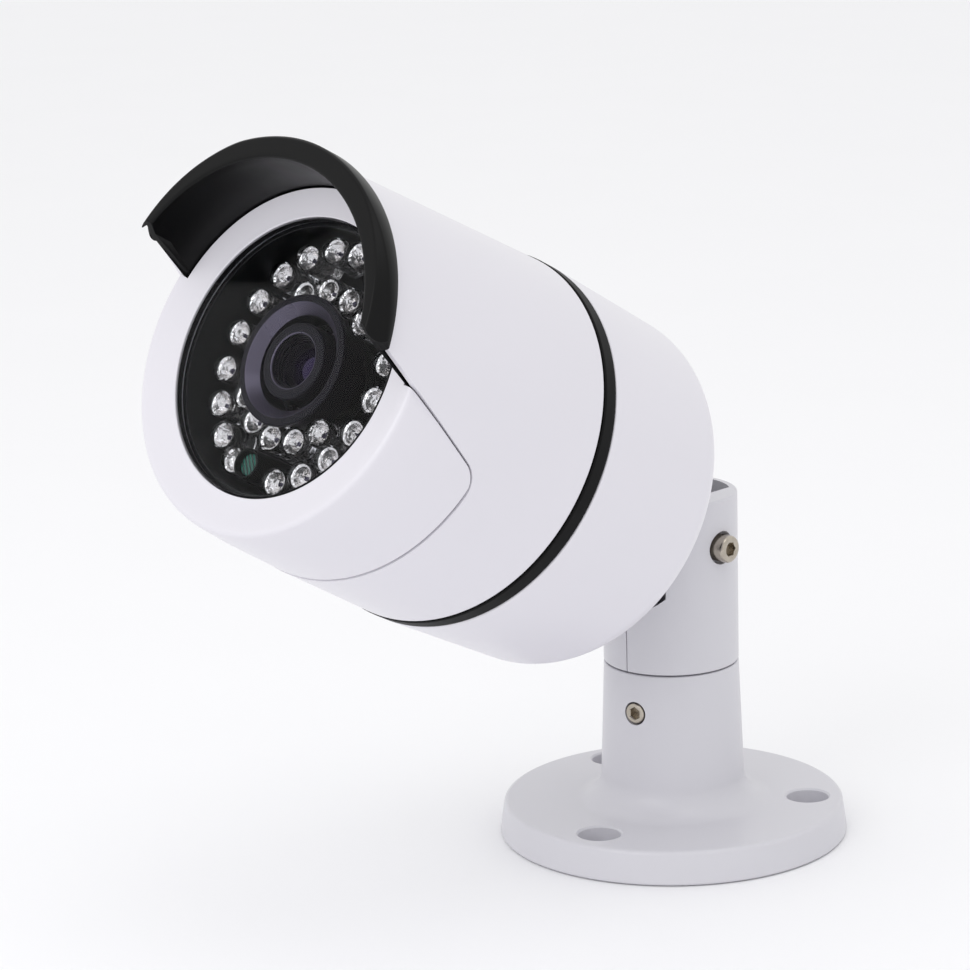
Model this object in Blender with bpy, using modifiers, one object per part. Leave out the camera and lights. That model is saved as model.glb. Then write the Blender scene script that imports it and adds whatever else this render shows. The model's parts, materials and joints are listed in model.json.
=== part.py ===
"""Bullet security camera on a wall and ceiling bracket, as separate pieces.

World frame: the origin is the centre of the flange's underside and +Z is the pan axis, away from the
mounting surface. At rest the camera looks towards -Y and upwards.
Camera pieces are modelled in the body's own frame: its origin is the tilt pivot, local +Z runs forward
along the body axis, and local +Y is the top of the body. Stations are distances along that axis.
"""
import math

import bmesh
import bpy

MM = 0.001
GAP = 0.3 * MM                       # clearance between pieces that touch
THIN = 0.5 * MM                      # small edge break

# ---- how the camera is set at rest -------------------------------------------------------------------
BASE_TURN = math.radians(8.0)        # flange turned under the head
TILT = math.radians(27.7)            # body axis above the mounting surface's plane
ROLL = math.radians(11.7)            # body turned on its neck, top towards +X

# ---- bracket base ------------------------------------------------------------------------------------
FLANGE_RADIUS = 34.0 * MM
FLANGE_DRAFT = 0.9 * MM              # the rim leans in by this much
FLANGE_THICK = 6.5 * MM
RELIEF_RADIUS = 18.0 * MM            # cored-out middle of the underside
RELIEF_DEPTH = 2.5 * MM
FIXING_EDGE = 7.7 * MM               # from a fixing hole's centre to the flange's edge
FIXING_COUNT = 3
FIXING_BORE = 2.3 * MM
FIXING_HEAD = 4.1 * MM
FIXING_SEAT = 3.2 * MM               # material left under a fixing screw's head
STEM_HEIGHT = 28.0 * MM
STEM_FLARE = 0.85 * MM               # wider by this much at the fillet
STEM_FILLET = 5.5 * MM
CABLE_BORE = 5.0 * MM
SPIGOT_RADIUS = 7.7 * MM
SPIGOT_LENGTH = 15.6 * MM
SET_SCREW_DROP = 7.7 * MM            # below the stem's top
SET_SCREW_RADIUS = 2.0 * MM
SET_SCREW_SOCKET = 2.0 * MM          # across flats
SET_SCREW_SOCKET_DEPTH = 2.2 * MM
GROOVE_DEPTH = 0.6 * MM              # in the spigot, for the set screw's tip

# ---- bracket head ------------------------------------------------------------------------------------
HEAD_WALL = 1.4 * MM                 # curved back wall
KNUCKLE_ROOM = 0.355 * MM            # between the knuckle's corners and that wall
PIVOT_RISE = 24.3 * MM               # pivot above the stem's top
HEAD_RISE = 9.4 * MM                 # top of the head above the pivot
SLOT_ROOM = 0.9 * MM                 # beside the neck
SLOT_FLOOR_ROOM = 0.405 * MM         # between the knuckle's corners and the round bottom of the slot
SLOT_FLOOR_DROP = 1.3 * MM           # its centre below the pivot
TILT_SCREW_RADIUS = 1.4 * MM
TILT_HEAD_RADIUS = 2.65 * MM
TILT_HEAD_LENGTH = 4.1 * MM
TILT_HEAD_PROUD = 2.3 * MM           # beyond the head's side
TILT_SOCKET = 2.5 * MM               # across flats
TILT_SOCKET_DEPTH = 1.7 * MM
NUT_FLATS = 5.5 * MM
NUT_THICK = 2.4 * MM
NUT_RECESS = 0.9 * MM                # nut's face below the head's side

# ---- neck --------------------------------------------------------------------------------------------
THREAD_RADIUS = 7.8 * MM
THREAD_STEP = 0.9 * MM               # the neck is thinner than its thread by this much
THREAD_CLEAR = 1.4 * MM              # from the bracket head's side to the start of the thread
NECK_LENGTH = 14.4 * MM              # from the start of the thread to the rear face
THREAD_PAST_FACE = 5.1 * MM          # thread that reaches into the body
KNUCKLE_STEP = 1.7 * MM              # the knuckle is thicker than the neck by this much
KNUCKLE_SIDE_GAP = 0.4 * MM
NECK_BORE = 4.6 * MM
LOCK_RING_WALL = 4.4 * MM
LOCK_RING_LENGTH = 8.1 * MM
LOCK_RING_FLUTES = 12
LOCK_RING_FLUTE = 1.6 * MM
SEAL_THICK = 1.5 * MM
SEAL_WIDTH = 3.1 * MM
GROMMET_FLANGE = 1.7 * MM
GROMMET_LENGTH = 6.0 * MM
CORD_HOLE = 2.2 * MM

# ---- body shells -------------------------------------------------------------------------------------
BODY_RADIUS = 35.0 * MM
BODY_LENGTH = 94.6 * MM              # rear face to the front of the shell
SHELL_WALL = 2.4 * MM
KNEE_STEP = 0.85 * MM                # the rear shell is narrower than the body by this much at its knee
KNEE_WIDTH = 9.05 * MM
KNEE_LENGTH = 7.3 * MM
HUB_WALL = 3.9 * MM
HUB_LENGTH = 8.1 * MM
REAR_LENGTH = 36.25 * MM             # rear face to the band
BAND_LENGTH = 3.3 * MM
BAND_THICK = 2.7 * MM
TONGUE_WALL = 1.4 * MM
TONGUE_LENGTH = 7.0 * MM
SHELL_STEP = 0.2 * MM                # front shell starts this much under the band
SHELL_DRAFT = 0.036                  # radius lost per length towards the front
HOOD_WALL = 1.22 * MM                # shell's wall over the visor, at its front

# ---- bezel and its chin ------------------------------------------------------------------------------
HOOD_OVERHANG = 31.0 * MM            # from the seam round the bottom to the front of the shell
SEAM_ANGLE = math.radians(22.7)      # the seam up the side, from the body axis
SEAM_FRONT_HEIGHT = 8.9 * MM         # that seam's height over the axis at the front of the shell
SEAM_FILLET = 6.0 * MM
WINDOW_SET_BACK = 10.6 * MM          # window's edge behind the front of the shell
CHIN_STEP = 0.1 * MM                 # chin under the shell's surface at the seam
CHIN_TAPER = 1.72 * MM               # radius lost from the seam to the rim
BEZEL_FACE = 7.0 * MM                # width of the face round the window
RIM_RISE = 1.4 * MM                  # the rim stands ahead of the window's edge
BEZEL_WALL = 1.5 * MM
BEZEL_FRONT_THICK = 7.9 * MM
BEZEL_TONGUE = 6.5 * MM

# ---- visor -------------------------------------------------------------------------------------------
LINER_WALL = 1.0 * MM
LINER_LENGTH = 29.5 * MM             # back from the front of the shell
LIP_LENGTH = 4.6 * MM                # ahead of the front of the shell
LIP_PROUD = 1.38 * MM                # outside the shell's front edge
LIP_SLOPE_INSET = 1.82 * MM          # the lip's front meets its sloping side this far inside that edge
LIP_SLOPE_OFFSET = 3.4 * MM          # centre of that round above the axis
LIP_SLOPE = 0.8
VISOR_SCREW_ANGLE = math.radians(45.0)
VISOR_SCREW_SET_BACK = 15.5 * MM     # behind the front of the shell
VISOR_SCREW_RADIUS = 1.0 * MM
VISOR_SCREW_HEAD = 1.8 * MM
VISOR_SCREW_LENGTH = 4.6 * MM

# ---- window, light board and lens --------------------------------------------------------------------
GLASS_THICK = 1.2 * MM
GLASS_SET_BACK = 0.15 * MM
SHROUD_WALL = 0.9 * MM
BOARD_THICK = 1.6 * MM
BOARD_HOLE_ROOM = 2.2 * MM           # outside the lens holder's tube
LED_RADIUS = 2.5 * MM
LED_LENGTH = 8.6 * MM
LED_STAND = 1.6 * MM                 # length of the leads under it
LED_LEAD = 0.5 * MM
LED_TO_GLASS = 1.85 * MM
STRIP_WIDTH = 1.7 * MM
STRIP_THICK = 0.4 * MM
STRIP_OVERRUN = 3.3                  # degrees past the end leads
OUTER_RING_ROOM = 0.5 * MM           # between the outer ring's highest LED and the shroud
OUTER_RING_SQUEEZE = 2.6 * MM        # the outer ring is narrower than it is tall, by this on each side
OUTER_LED_GAP = 0.655 * MM           # between neighbours at the top
INNER_RING_ROOM = 0.7 * MM           # between the inner ring's LEDs and the lens hood's tube
INNER_LED_GAP = 0.61 * MM
SENSOR_OPENING = 17.0                # degrees kept free each side of the bottom of the outer ring
OUTER_STRINGS = 5
CELL_RADIUS = 2.0 * MM               # light sensor under the lens
CELL_UNDER_LED = 1.6 * MM            # its face is lower than the domes by this much
SLEEVE_GAP = 0.3 * MM
SLEEVE_WALL = 0.5 * MM
SLEEVE_OVER_LED = 2.0 * MM           # the sleeve is longer than a LED by this much
SLEEVE_ROOM = 0.4 * MM               # between the sleeve and the lowest LED
HOOD_FLANGE = 1.0 * MM
HOOD_FLANGE_WIDTH = 1.5 * MM
HOOD_TUBE_WALL = 1.7 * MM
HOOD_ROOM = 1.7 * MM                 # round the lens barrel
HOOD_LENGTH = 7.2 * MM
BARREL_TO_GLASS = 0.95 * MM
BARREL_RADIUS = 6.9 * MM
BARREL_HEAD_LENGTH = 7.6 * MM
BARREL_SHOULDER = 1.0 * MM
BARREL_LENGTH = 24.1 * MM
BARREL_RIM = 2.0 * MM                # width of the ring round its mouth
BARREL_MOUTH_DEPTH = 3.0 * MM
BARREL_LEDGE = 1.3 * MM              # the front lens is smaller than the mouth by this much
FRONT_LENS_THICK = 2.7 * MM
REAR_LENS_RADIUS = 3.0 * MM
REAR_LENS_THICK = 4.4 * MM
APERTURE_RADIUS = 2.4 * MM

# ---- electronics -------------------------------------------------------------------------------------
BOARD_ROOM = 4.44 * MM               # from a board's corners to the rear shell's tongue
BOARD_BEHIND_LENS = 6.5 * MM
BOARD_SPACING = 10.0 * MM
POST_EDGE = 4.0 * MM                 # from a post's centre to the board's edges
POST_FLATS = 4.0 * MM
SENSOR_SIDE = 7.4 * MM
SENSOR_THICK = 1.1 * MM
HOLDER_SIDE = 2.8 * MM               # block beside the tube
HOLDER_TOP = 0.8 * MM                # block above the tube
HOLDER_BLOCK_LENGTH = 11.1 * MM
HOLDER_TUBE_WALL = 2.0 * MM
HOLDER_BEHIND_BARREL = 12.1 * MM
FILTER_LENGTH = 14.0 * MM
FILTER_HEIGHT = 9.0 * MM
FILTER_THICK = 0.6 * MM
FILTER_TRAVEL = 5.0 * MM
FILTER_BEHIND_LENS = 2.2 * MM
SOLENOID_SIZE = (10.0 * MM, 4.5 * MM, 5.0 * MM)
CONNECTOR_SIZE = (12.0 * MM, 5.5 * MM, 6.0 * MM)
CONNECTOR_HEIGHT = -12.0 * MM

# ---- sizes that follow from the ones above -----------------------------------------------------------
NECK_RADIUS = THREAD_RADIUS - THREAD_STEP
KNUCKLE_RADIUS = NECK_RADIUS + KNUCKLE_STEP
SLOT_HALF = NECK_RADIUS + SLOT_ROOM
KNUCKLE_HALF = SLOT_HALF - KNUCKLE_SIDE_GAP
SLOT_FLOOR_RADIUS = math.hypot(KNUCKLE_HALF, KNUCKLE_RADIUS - SLOT_FLOOR_DROP) + SLOT_FLOOR_ROOM
HEAD_RADIUS = math.hypot(KNUCKLE_HALF, KNUCKLE_RADIUS) + KNUCKLE_ROOM + HEAD_WALL

STEM_TOP = FLANGE_THICK + STEM_HEIGHT
STEM_RADIUS = HEAD_RADIUS                               # at its top
FIXING_CIRCLE = FLANGE_RADIUS - FIXING_EDGE
SET_SCREW_HEIGHT = STEM_TOP - SET_SCREW_DROP
SPIGOT_BOTTOM = STEM_TOP + GAP - SPIGOT_LENGTH
PIVOT_HEIGHT = STEM_TOP + PIVOT_RISE
HEAD_TOP = PIVOT_HEIGHT + HEAD_RISE

THREAD_START = HEAD_RADIUS + THREAD_CLEAR
REAR_FACE = THREAD_START + NECK_LENGTH
THREAD_END = REAR_FACE + THREAD_PAST_FACE
HUB_BORE = THREAD_RADIUS + GAP
HUB_RADIUS = HUB_BORE + HUB_WALL
LOCK_RING_RADIUS = HUB_BORE + LOCK_RING_WALL
SEAL_RADIUS = HUB_BORE + SEAL_WIDTH

KNEE_RADIUS = BODY_RADIUS - KNEE_STEP
SHELL_FRONT = REAR_FACE + BODY_LENGTH
BAND_START = REAR_FACE + REAR_LENGTH
BAND_END = BAND_START + BAND_LENGTH
BAND_BORE = BODY_RADIUS - BAND_THICK
TONGUE_END = BAND_START - GAP / 2 + TONGUE_LENGTH
TONGUE_RADIUS = BAND_BORE - GAP
TONGUE_BORE = TONGUE_RADIUS - TONGUE_WALL
SHELL_FRONT_RADIUS = BODY_RADIUS - SHELL_STEP - SHELL_DRAFT * (SHELL_FRONT - BAND_END)
HOOD_SHELL_BORE = SHELL_FRONT_RADIUS - HOOD_WALL        # front shell, where it covers the visor's lining
LINER_RADIUS = HOOD_SHELL_BORE - GAP
LINER_BORE = LINER_RADIUS - LINER_WALL
LINER_BACK = SHELL_FRONT - LINER_LENGTH
LIP_FRONT = SHELL_FRONT + LIP_LENGTH
LIP_RADIUS = SHELL_FRONT_RADIUS + LIP_PROUD
LIP_SLOPE_RADIUS = SHELL_FRONT_RADIUS - LIP_SLOPE_INSET
VISOR_SCREW_STATION = SHELL_FRONT - VISOR_SCREW_SET_BACK

CHIN_EDGE = SHELL_FRONT - HOOD_OVERHANG
CHIN_BACK = CHIN_EDGE + GAP
CHIN_RADIUS = BODY_RADIUS - SHELL_STEP - SHELL_DRAFT * (CHIN_BACK - BAND_END) - CHIN_STEP
RIM_RADIUS = CHIN_RADIUS - CHIN_TAPER
WINDOW_RADIUS = RIM_RADIUS - BEZEL_FACE
WINDOW_STATION = SHELL_FRONT - WINDOW_SET_BACK
BEZEL_TUBE_RADIUS = LINER_BORE - GAP
BEZEL_CORE_RADIUS = BEZEL_TUBE_RADIUS - BEZEL_WALL
BEZEL_CORE_END = WINDOW_STATION - BEZEL_FRONT_THICK

GLASS_FRONT = WINDOW_STATION - GLASS_SET_BACK
GLASS_BACK = GLASS_FRONT - GLASS_THICK
SHROUD_RADIUS = WINDOW_RADIUS - GAP
SHROUD_BORE = SHROUD_RADIUS - SHROUD_WALL
LED_FOOT = GLASS_BACK - LED_TO_GLASS - LED_LENGTH
LED_BOARD_FRONT = LED_FOOT - LED_STAND - GAP
LED_BOARD_BACK = LED_BOARD_FRONT - BOARD_THICK
BARREL_FRONT = GLASS_BACK - BARREL_TO_GLASS
BARREL_BACK = BARREL_FRONT - BARREL_LENGTH
BARREL_THREAD_RADIUS = BARREL_RADIUS - BARREL_SHOULDER
BARREL_MOUTH = BARREL_RADIUS - BARREL_RIM
FRONT_LENS_RADIUS = BARREL_MOUTH - BARREL_LEDGE
HOOD_BORE = BARREL_RADIUS + HOOD_ROOM
HOOD_TUBE_RADIUS = HOOD_BORE + HOOD_TUBE_WALL
HOOD_RADIUS = HOOD_TUBE_RADIUS + HOOD_FLANGE_WIDTH
HOLDER_BORE = BARREL_THREAD_RADIUS + GAP
HOLDER_TUBE_RADIUS = HOLDER_BORE + HOLDER_TUBE_WALL
LED_BOARD_HOLE = HOLDER_TUBE_RADIUS + BOARD_HOLE_ROOM

OUTER_HALF_HEIGHT = SHROUD_BORE - LED_RADIUS - OUTER_RING_ROOM
OUTER_HALF_WIDTH = OUTER_HALF_HEIGHT - OUTER_RING_SQUEEZE
OUTER_LED_STEP = math.degrees(math.asin((2 * LED_RADIUS + OUTER_LED_GAP) / OUTER_HALF_WIDTH))
INNER_LED_RADIUS = HOOD_TUBE_RADIUS + LED_RADIUS + INNER_RING_ROOM
INNER_LED_STEP = 2 * math.degrees(math.asin((LED_RADIUS + INNER_LED_GAP / 2) / INNER_LED_RADIUS))
SLEEVE_BORE = CELL_RADIUS + SLEEVE_GAP
SLEEVE_RADIUS = SLEEVE_BORE + SLEEVE_WALL
CELL_HEIGHT = -(INNER_LED_RADIUS + LED_RADIUS + SLEEVE_RADIUS + SLEEVE_ROOM)

BOARD_SIDE = math.sqrt(2) * (TONGUE_BORE - BOARD_ROOM)
POST_OFFSET = BOARD_SIDE / 2 - POST_EDGE
SENSOR_BOARD_BACK = BARREL_BACK - BOARD_BEHIND_LENS
VIDEO_BOARD_BACK = SENSOR_BOARD_BACK - BOARD_SPACING
HOLDER_FRONT = BARREL_FRONT - HOLDER_BEHIND_BARREL
FILTER_BACK = BARREL_BACK - FILTER_BEHIND_LENS

BIG = 200.0 * MM                     # reach of a cutter that runs right past a piece
COARSE, FINE = 24, 40                # sides of small and large round pieces

QUARTER = math.pi / 2
ALONG_X = (0.0, QUARTER, 0.0)        # turns local Z to +X
ALONG_MINUS_Y = (QUARTER, 0.0, 0.0)  # turns local Z to -Y
SIDE_VIEW = (QUARTER, 0.0, QUARTER)  # turns an outline in X and Y to Y and Z

MATERIALS = {}


# ---- helpers -----------------------------------------------------------------------------------------
def srgb(code):
    """Linear colour of a six-digit hex code."""
    channels = [int(code[i:i + 2], 16) / 255 for i in (0, 2, 4)]
    linear = [c / 12.92 if c <= 0.04045 else ((c + 0.055) / 1.055) ** 2.4 for c in channels]
    return (*linear, 1.0)


def material(name, colour, roughness, metallic=0.0):
    """A Principled material, made once."""
    if name not in MATERIALS:
        made = bpy.data.materials.new(name)
        made.use_nodes = True
        shader = made.node_tree.nodes["Principled BSDF"]
        shader.inputs["Base Color"].default_value = srgb(colour)
        shader.inputs["Roughness"].default_value = roughness
        shader.inputs["Metallic"].default_value = metallic
        MATERIALS[name] = made
    return MATERIALS[name]


def place(obj, parent, location, rotation, finish):
    """Link a piece with its material, or a cutter when it has none."""
    obj.parent = parent
    obj.location = location
    obj.rotation_euler = rotation
    if finish is None:
        CUTTERS.objects.link(obj)
        obj.hide_render = True
        obj.display_type = "WIRE"
    else:
        PARTS.objects.link(obj)
        obj.data.materials.append(finish)
    return obj


def turned(name, profile, parent, finish=None, steps=FINE, location=(0, 0, 0), rotation=(0, 0, 0),
           closed=True):
    """A profile of (radius, height) points turned about local Z. It runs down its outer side."""
    mesh = bpy.data.meshes.new(name)
    edges = [(i, i + 1) for i in range(len(profile) - 1)]
    if closed:
        edges.append((len(profile) - 1, 0))
    mesh.from_pydata([(radius, 0.0, height) for radius, height in profile], edges, [])
    obj = place(bpy.data.objects.new(name, mesh), parent, location, rotation, finish)
    screw = obj.modifiers.new("Turn", "SCREW")
    screw.steps = screw.render_steps = steps
    screw.use_merge_vertices = True
    screw.merge_threshold = 0.00001
    return obj


def from_bmesh(name, bm, parent, location, rotation, finish):
    mesh = bpy.data.meshes.new(name)
    bm.to_mesh(mesh)
    bm.free()
    return place(bpy.data.objects.new(name, mesh), parent, location, rotation, finish)


def rod(name, radius, start, end, parent, finish=None, steps=COARSE, location=(0, 0, 0),
        rotation=(0, 0, 0), end_radius=None):
    """A cylinder or cone along local Z from start to end."""
    bm = bmesh.new()
    bmesh.ops.create_cone(bm, cap_ends=True, segments=steps, radius1=radius,
                          radius2=radius if end_radius is None else end_radius, depth=end - start)
    bmesh.ops.translate(bm, verts=bm.verts, vec=(0, 0, (start + end) / 2))
    return from_bmesh(name, bm, parent, location, rotation, finish)


def hex_rod(name, flats, start, end, parent, finish=None, location=(0, 0, 0), rotation=(0, 0, 0)):
    return rod(name, flats / 2 / math.cos(math.pi / 6), start, end, parent, finish, 6, location, rotation)


def box(name, low, high, parent, finish=None):
    """A block between two corners."""
    bm = bmesh.new()
    bmesh.ops.create_cube(bm, size=1.0)
    bmesh.ops.scale(bm, verts=bm.verts, vec=[h - l for l, h in zip(low, high)])
    bmesh.ops.translate(bm, verts=bm.verts, vec=[(l + h) / 2 for l, h in zip(low, high)])
    return from_bmesh(name, bm, parent, (0, 0, 0), (0, 0, 0), finish)


def prism(name, outline, start, end, parent, finish=None, location=(0, 0, 0), rotation=(0, 0, 0)):
    """An outline in local X and Y pulled along local Z from start to end."""
    bm = bmesh.new()
    face = bm.faces.new([bm.verts.new((x, y, start)) for x, y in outline])
    pulled = bmesh.ops.extrude_face_region(bm, geom=[face])["geom"]
    moved = [item for item in pulled if isinstance(item, bmesh.types.BMVert)]
    bmesh.ops.translate(bm, verts=moved, vec=(0, 0, end - start))
    bmesh.ops.recalc_face_normals(bm, faces=bm.faces)
    return from_bmesh(name, bm, parent, location, rotation, finish)


def arc(centre, radius, first, last, count):
    """Points on an arc, angles in degrees."""
    angles = [math.radians(first + (last - first) * i / count) for i in range(count + 1)]
    return [(centre[0] + radius * math.cos(a), centre[1] + radius * math.sin(a)) for a in angles]


def change(obj, other, operation="DIFFERENCE"):
    boolean = obj.modifiers.new(other.name, "BOOLEAN")
    boolean.operation = operation
    boolean.object = other


def empty(name, parent=None, location=(0, 0, 0), rotation=(0, 0, 0)):
    obj = bpy.data.objects.new(name, None)
    bpy.context.scene.collection.objects.link(obj)
    obj.parent = parent
    obj.location = location
    obj.rotation_euler = rotation
    return obj


# ---- finishes ----------------------------------------------------------------------------------------
def white_shell():
    return material("white_paint", "E2E0E6", 0.32)


def white_bracket():
    return material("bracket_paint", "D0CFD5", 0.42)


def black_plastic():
    return material("black_plastic", "0C0C0D", 0.38)


def black_rubber():
    return material("black_rubber", "18181A", 0.6)


def nickel():
    return material("nickel", "B5ADA0", 0.25, 1.0)


def brass():
    return material("brass", "C8A654", 0.3, 1.0)


def circuit_board():
    return material("black_board", "0F0F14", 0.5)


def green_board():
    return material("green_board", "14532D", 0.5)


def clear_epoxy():
    return material("clear_epoxy", "DADADA", 0.08)


def lens_glass():
    return material("coated_glass", "2A1E48", 0.05)


# ---- outlines that follow from the sizes -------------------------------------------------------------
def shell_radius(station):
    """Outer radius of the front shell."""
    return BODY_RADIUS - SHELL_STEP - SHELL_DRAFT * (station - BAND_END)


def seam_height(station):
    """Height over the axis of the seam between the hood and the chin."""
    return SEAM_FRONT_HEIGHT + math.tan(SEAM_ANGLE) * (station - SHELL_FRONT)


def chin_outline(inset):
    """Region of the chin in the side view, as (height, station), shrunk by inset."""
    edge = CHIN_EDGE + inset
    drop = inset / math.cos(SEAM_ANGLE)
    corner = seam_height(edge) - drop
    turn = QUARTER - SEAM_ANGLE                     # change of direction round the corner
    fillet = SEAM_FILLET - inset
    reach = fillet * math.tan(turn / 2)
    centre = (corner - reach, edge + fillet)
    angles = math.degrees(turn)
    rounded = arc(centre, fillet, -90, -90 + angles, 6)
    front = SHELL_FRONT + BIG
    return [(-BIG, edge)] + rounded + [(seam_height(front) - drop, front), (-BIG, front)]


# ---- bracket -----------------------------------------------------------------------------------------
def make_base(frame):
    foot = STEM_RADIUS + STEM_FLARE
    bore = SPIGOT_RADIUS + GAP
    socket_floor = SPIGOT_BOTTOM - 2 * GAP
    rim = FLANGE_RADIUS - FLANGE_DRAFT
    fillet = arc((foot + STEM_FILLET, FLANGE_THICK + STEM_FILLET), STEM_FILLET, 180, 270, 5)
    profile = [(bore, STEM_TOP), (STEM_RADIUS - THIN / 2, STEM_TOP), (STEM_RADIUS, STEM_TOP - THIN / 2)]
    profile += fillet
    profile += [(rim - 2 * THIN, FLANGE_THICK), (rim - THIN / 2, FLANGE_THICK - THIN / 2),
                (rim, FLANGE_THICK - 2 * THIN), (FLANGE_RADIUS, THIN), (FLANGE_RADIUS - THIN, 0.0),
                (RELIEF_RADIUS, 0.0), (RELIEF_RADIUS, RELIEF_DEPTH), (CABLE_BORE, RELIEF_DEPTH),
                (CABLE_BORE, socket_floor), (bore, socket_floor)]
    base = turned("base_flange", profile, frame, white_bracket())
    for number in range(FIXING_COUNT):
        angle = math.tau * number / FIXING_COUNT
        seat = [(0.0, BIG), (FIXING_HEAD, BIG), (FIXING_HEAD, FIXING_SEAT), (FIXING_BORE, FIXING_SEAT),
                (FIXING_BORE, -BIG), (0.0, -BIG)]
        spot = (FIXING_CIRCLE * math.sin(angle), -FIXING_CIRCLE * math.cos(angle), 0.0)
        change(base, turned(f"cut_fixing_{number + 1}", seat, frame, steps=COARSE, location=spot,
                            closed=False))
    height = (0, 0, SET_SCREW_HEIGHT)
    change(base, rod("cut_set_screw", SET_SCREW_RADIUS + GAP, SPIGOT_RADIUS / 2, BIG, frame,
                     location=height, rotation=ALONG_MINUS_Y))

    face = STEM_RADIUS + STEM_FLARE * (STEM_TOP - SET_SCREW_HEIGHT) / (STEM_TOP - FLANGE_THICK)
    tip = SPIGOT_RADIUS + 2 * GAP
    profile = [(0.0, face), (SET_SCREW_RADIUS - GAP, face), (SET_SCREW_RADIUS, face - GAP),
               (SET_SCREW_RADIUS, tip + THIN), (SET_SCREW_RADIUS - THIN, tip), (0.0, tip)]
    screw = turned("pan_set_screw", profile, frame, nickel(), COARSE, height, ALONG_MINUS_Y, closed=False)
    change(screw, hex_rod("cut_set_socket", SET_SCREW_SOCKET, face - SET_SCREW_SOCKET_DEPTH, BIG, frame,
                          location=height, rotation=ALONG_MINUS_Y))


def make_head(frame):
    bottom = STEM_TOP + GAP
    groove = SET_SCREW_HEIGHT
    profile = [(CABLE_BORE, HEAD_TOP), (HEAD_RADIUS - GAP, HEAD_TOP), (HEAD_RADIUS, HEAD_TOP - GAP),
               (HEAD_RADIUS, bottom + GAP), (HEAD_RADIUS - GAP, bottom), (SPIGOT_RADIUS, bottom),
               (SPIGOT_RADIUS, groove + GROOVE_DEPTH), (SPIGOT_RADIUS - GROOVE_DEPTH, groove),
               (SPIGOT_RADIUS, groove - GROOVE_DEPTH), (SPIGOT_RADIUS, SPIGOT_BOTTOM),
               (CABLE_BORE, SPIGOT_BOTTOM)]

    # room for the knuckle: open to the front and the top, closed by the curved back wall
    inner = HEAD_RADIUS - HEAD_WALL
    side = math.degrees(math.acos(SLOT_HALF / inner))
    plan = [(-SLOT_HALF, -BIG), (SLOT_HALF, -BIG)] + arc((0, 0), inner, side, 180 - side, 8)
    room = prism("cut_head_room", plan, PIVOT_HEIGHT - 2 * SLOT_FLOOR_RADIUS, BIG, frame)
    floor_centre = (0.0, PIVOT_HEIGHT - SLOT_FLOOR_DROP)
    front = [(SLOT_FLOOR_RADIUS, BIG), (-SLOT_FLOOR_RADIUS, BIG)]
    front += arc(floor_centre, SLOT_FLOOR_RADIUS, 180, 360, 16)
    change(room, prism("cut_head_slot", front, -BIG, BIG, frame, rotation=ALONG_MINUS_Y), "INTERSECT")

    pivot = (0, 0, PIVOT_HEIGHT)
    counterbore = HEAD_RADIUS + TILT_HEAD_PROUD - TILT_HEAD_LENGTH - GAP
    pocket = HEAD_RADIUS - NUT_RECESS - NUT_THICK - GAP
    shank = rod("cut_tilt_shank", TILT_SCREW_RADIUS + GAP, -BIG, BIG, frame, location=pivot,
                rotation=ALONG_X)
    recess = rod("cut_tilt_head", TILT_HEAD_RADIUS + 2 * GAP, counterbore, BIG, frame, location=pivot,
                 rotation=ALONG_X)
    nut_room = hex_rod("cut_tilt_nut", NUT_FLATS + 2 * GAP, -BIG, -pocket, frame, location=pivot,
                       rotation=ALONG_X)
    far = box("cut_far_half", (-BIG, -BIG, -BIG), (GAP / 2, BIG, BIG), frame)
    near = box("cut_near_half", (-GAP / 2, -BIG, -BIG), (BIG, BIG, BIG), frame)
    for name, other_half, seat in (("head_half_right", far, recess), ("head_half_left", near, nut_room)):
        half = turned(name, profile, frame, white_bracket())
        for cutter in (room, shank, seat, other_half):
            change(half, cutter)

    tip = -HEAD_RADIUS + THIN
    profile = [(0.0, counterbore + GAP + TILT_HEAD_LENGTH),
               (TILT_HEAD_RADIUS - GAP, counterbore + GAP + TILT_HEAD_LENGTH),
               (TILT_HEAD_RADIUS, counterbore + TILT_HEAD_LENGTH),
               (TILT_HEAD_RADIUS, counterbore + GAP), (TILT_SCREW_RADIUS, counterbore + GAP),
               (TILT_SCREW_RADIUS, tip), (0.0, tip)]
    screw = turned("tilt_screw", profile, frame, nickel(), COARSE, pivot, ALONG_X, closed=False)
    socket = counterbore + GAP + TILT_HEAD_LENGTH - TILT_SOCKET_DEPTH
    change(screw, hex_rod("cut_tilt_socket", TILT_SOCKET, socket, BIG, frame, location=pivot,
                          rotation=ALONG_X))
    nut = hex_rod("tilt_nut", NUT_FLATS, -pocket - GAP - NUT_THICK, -pocket - GAP, frame, nickel(), pivot,
                  ALONG_X)
    change(nut, shank)


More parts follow.
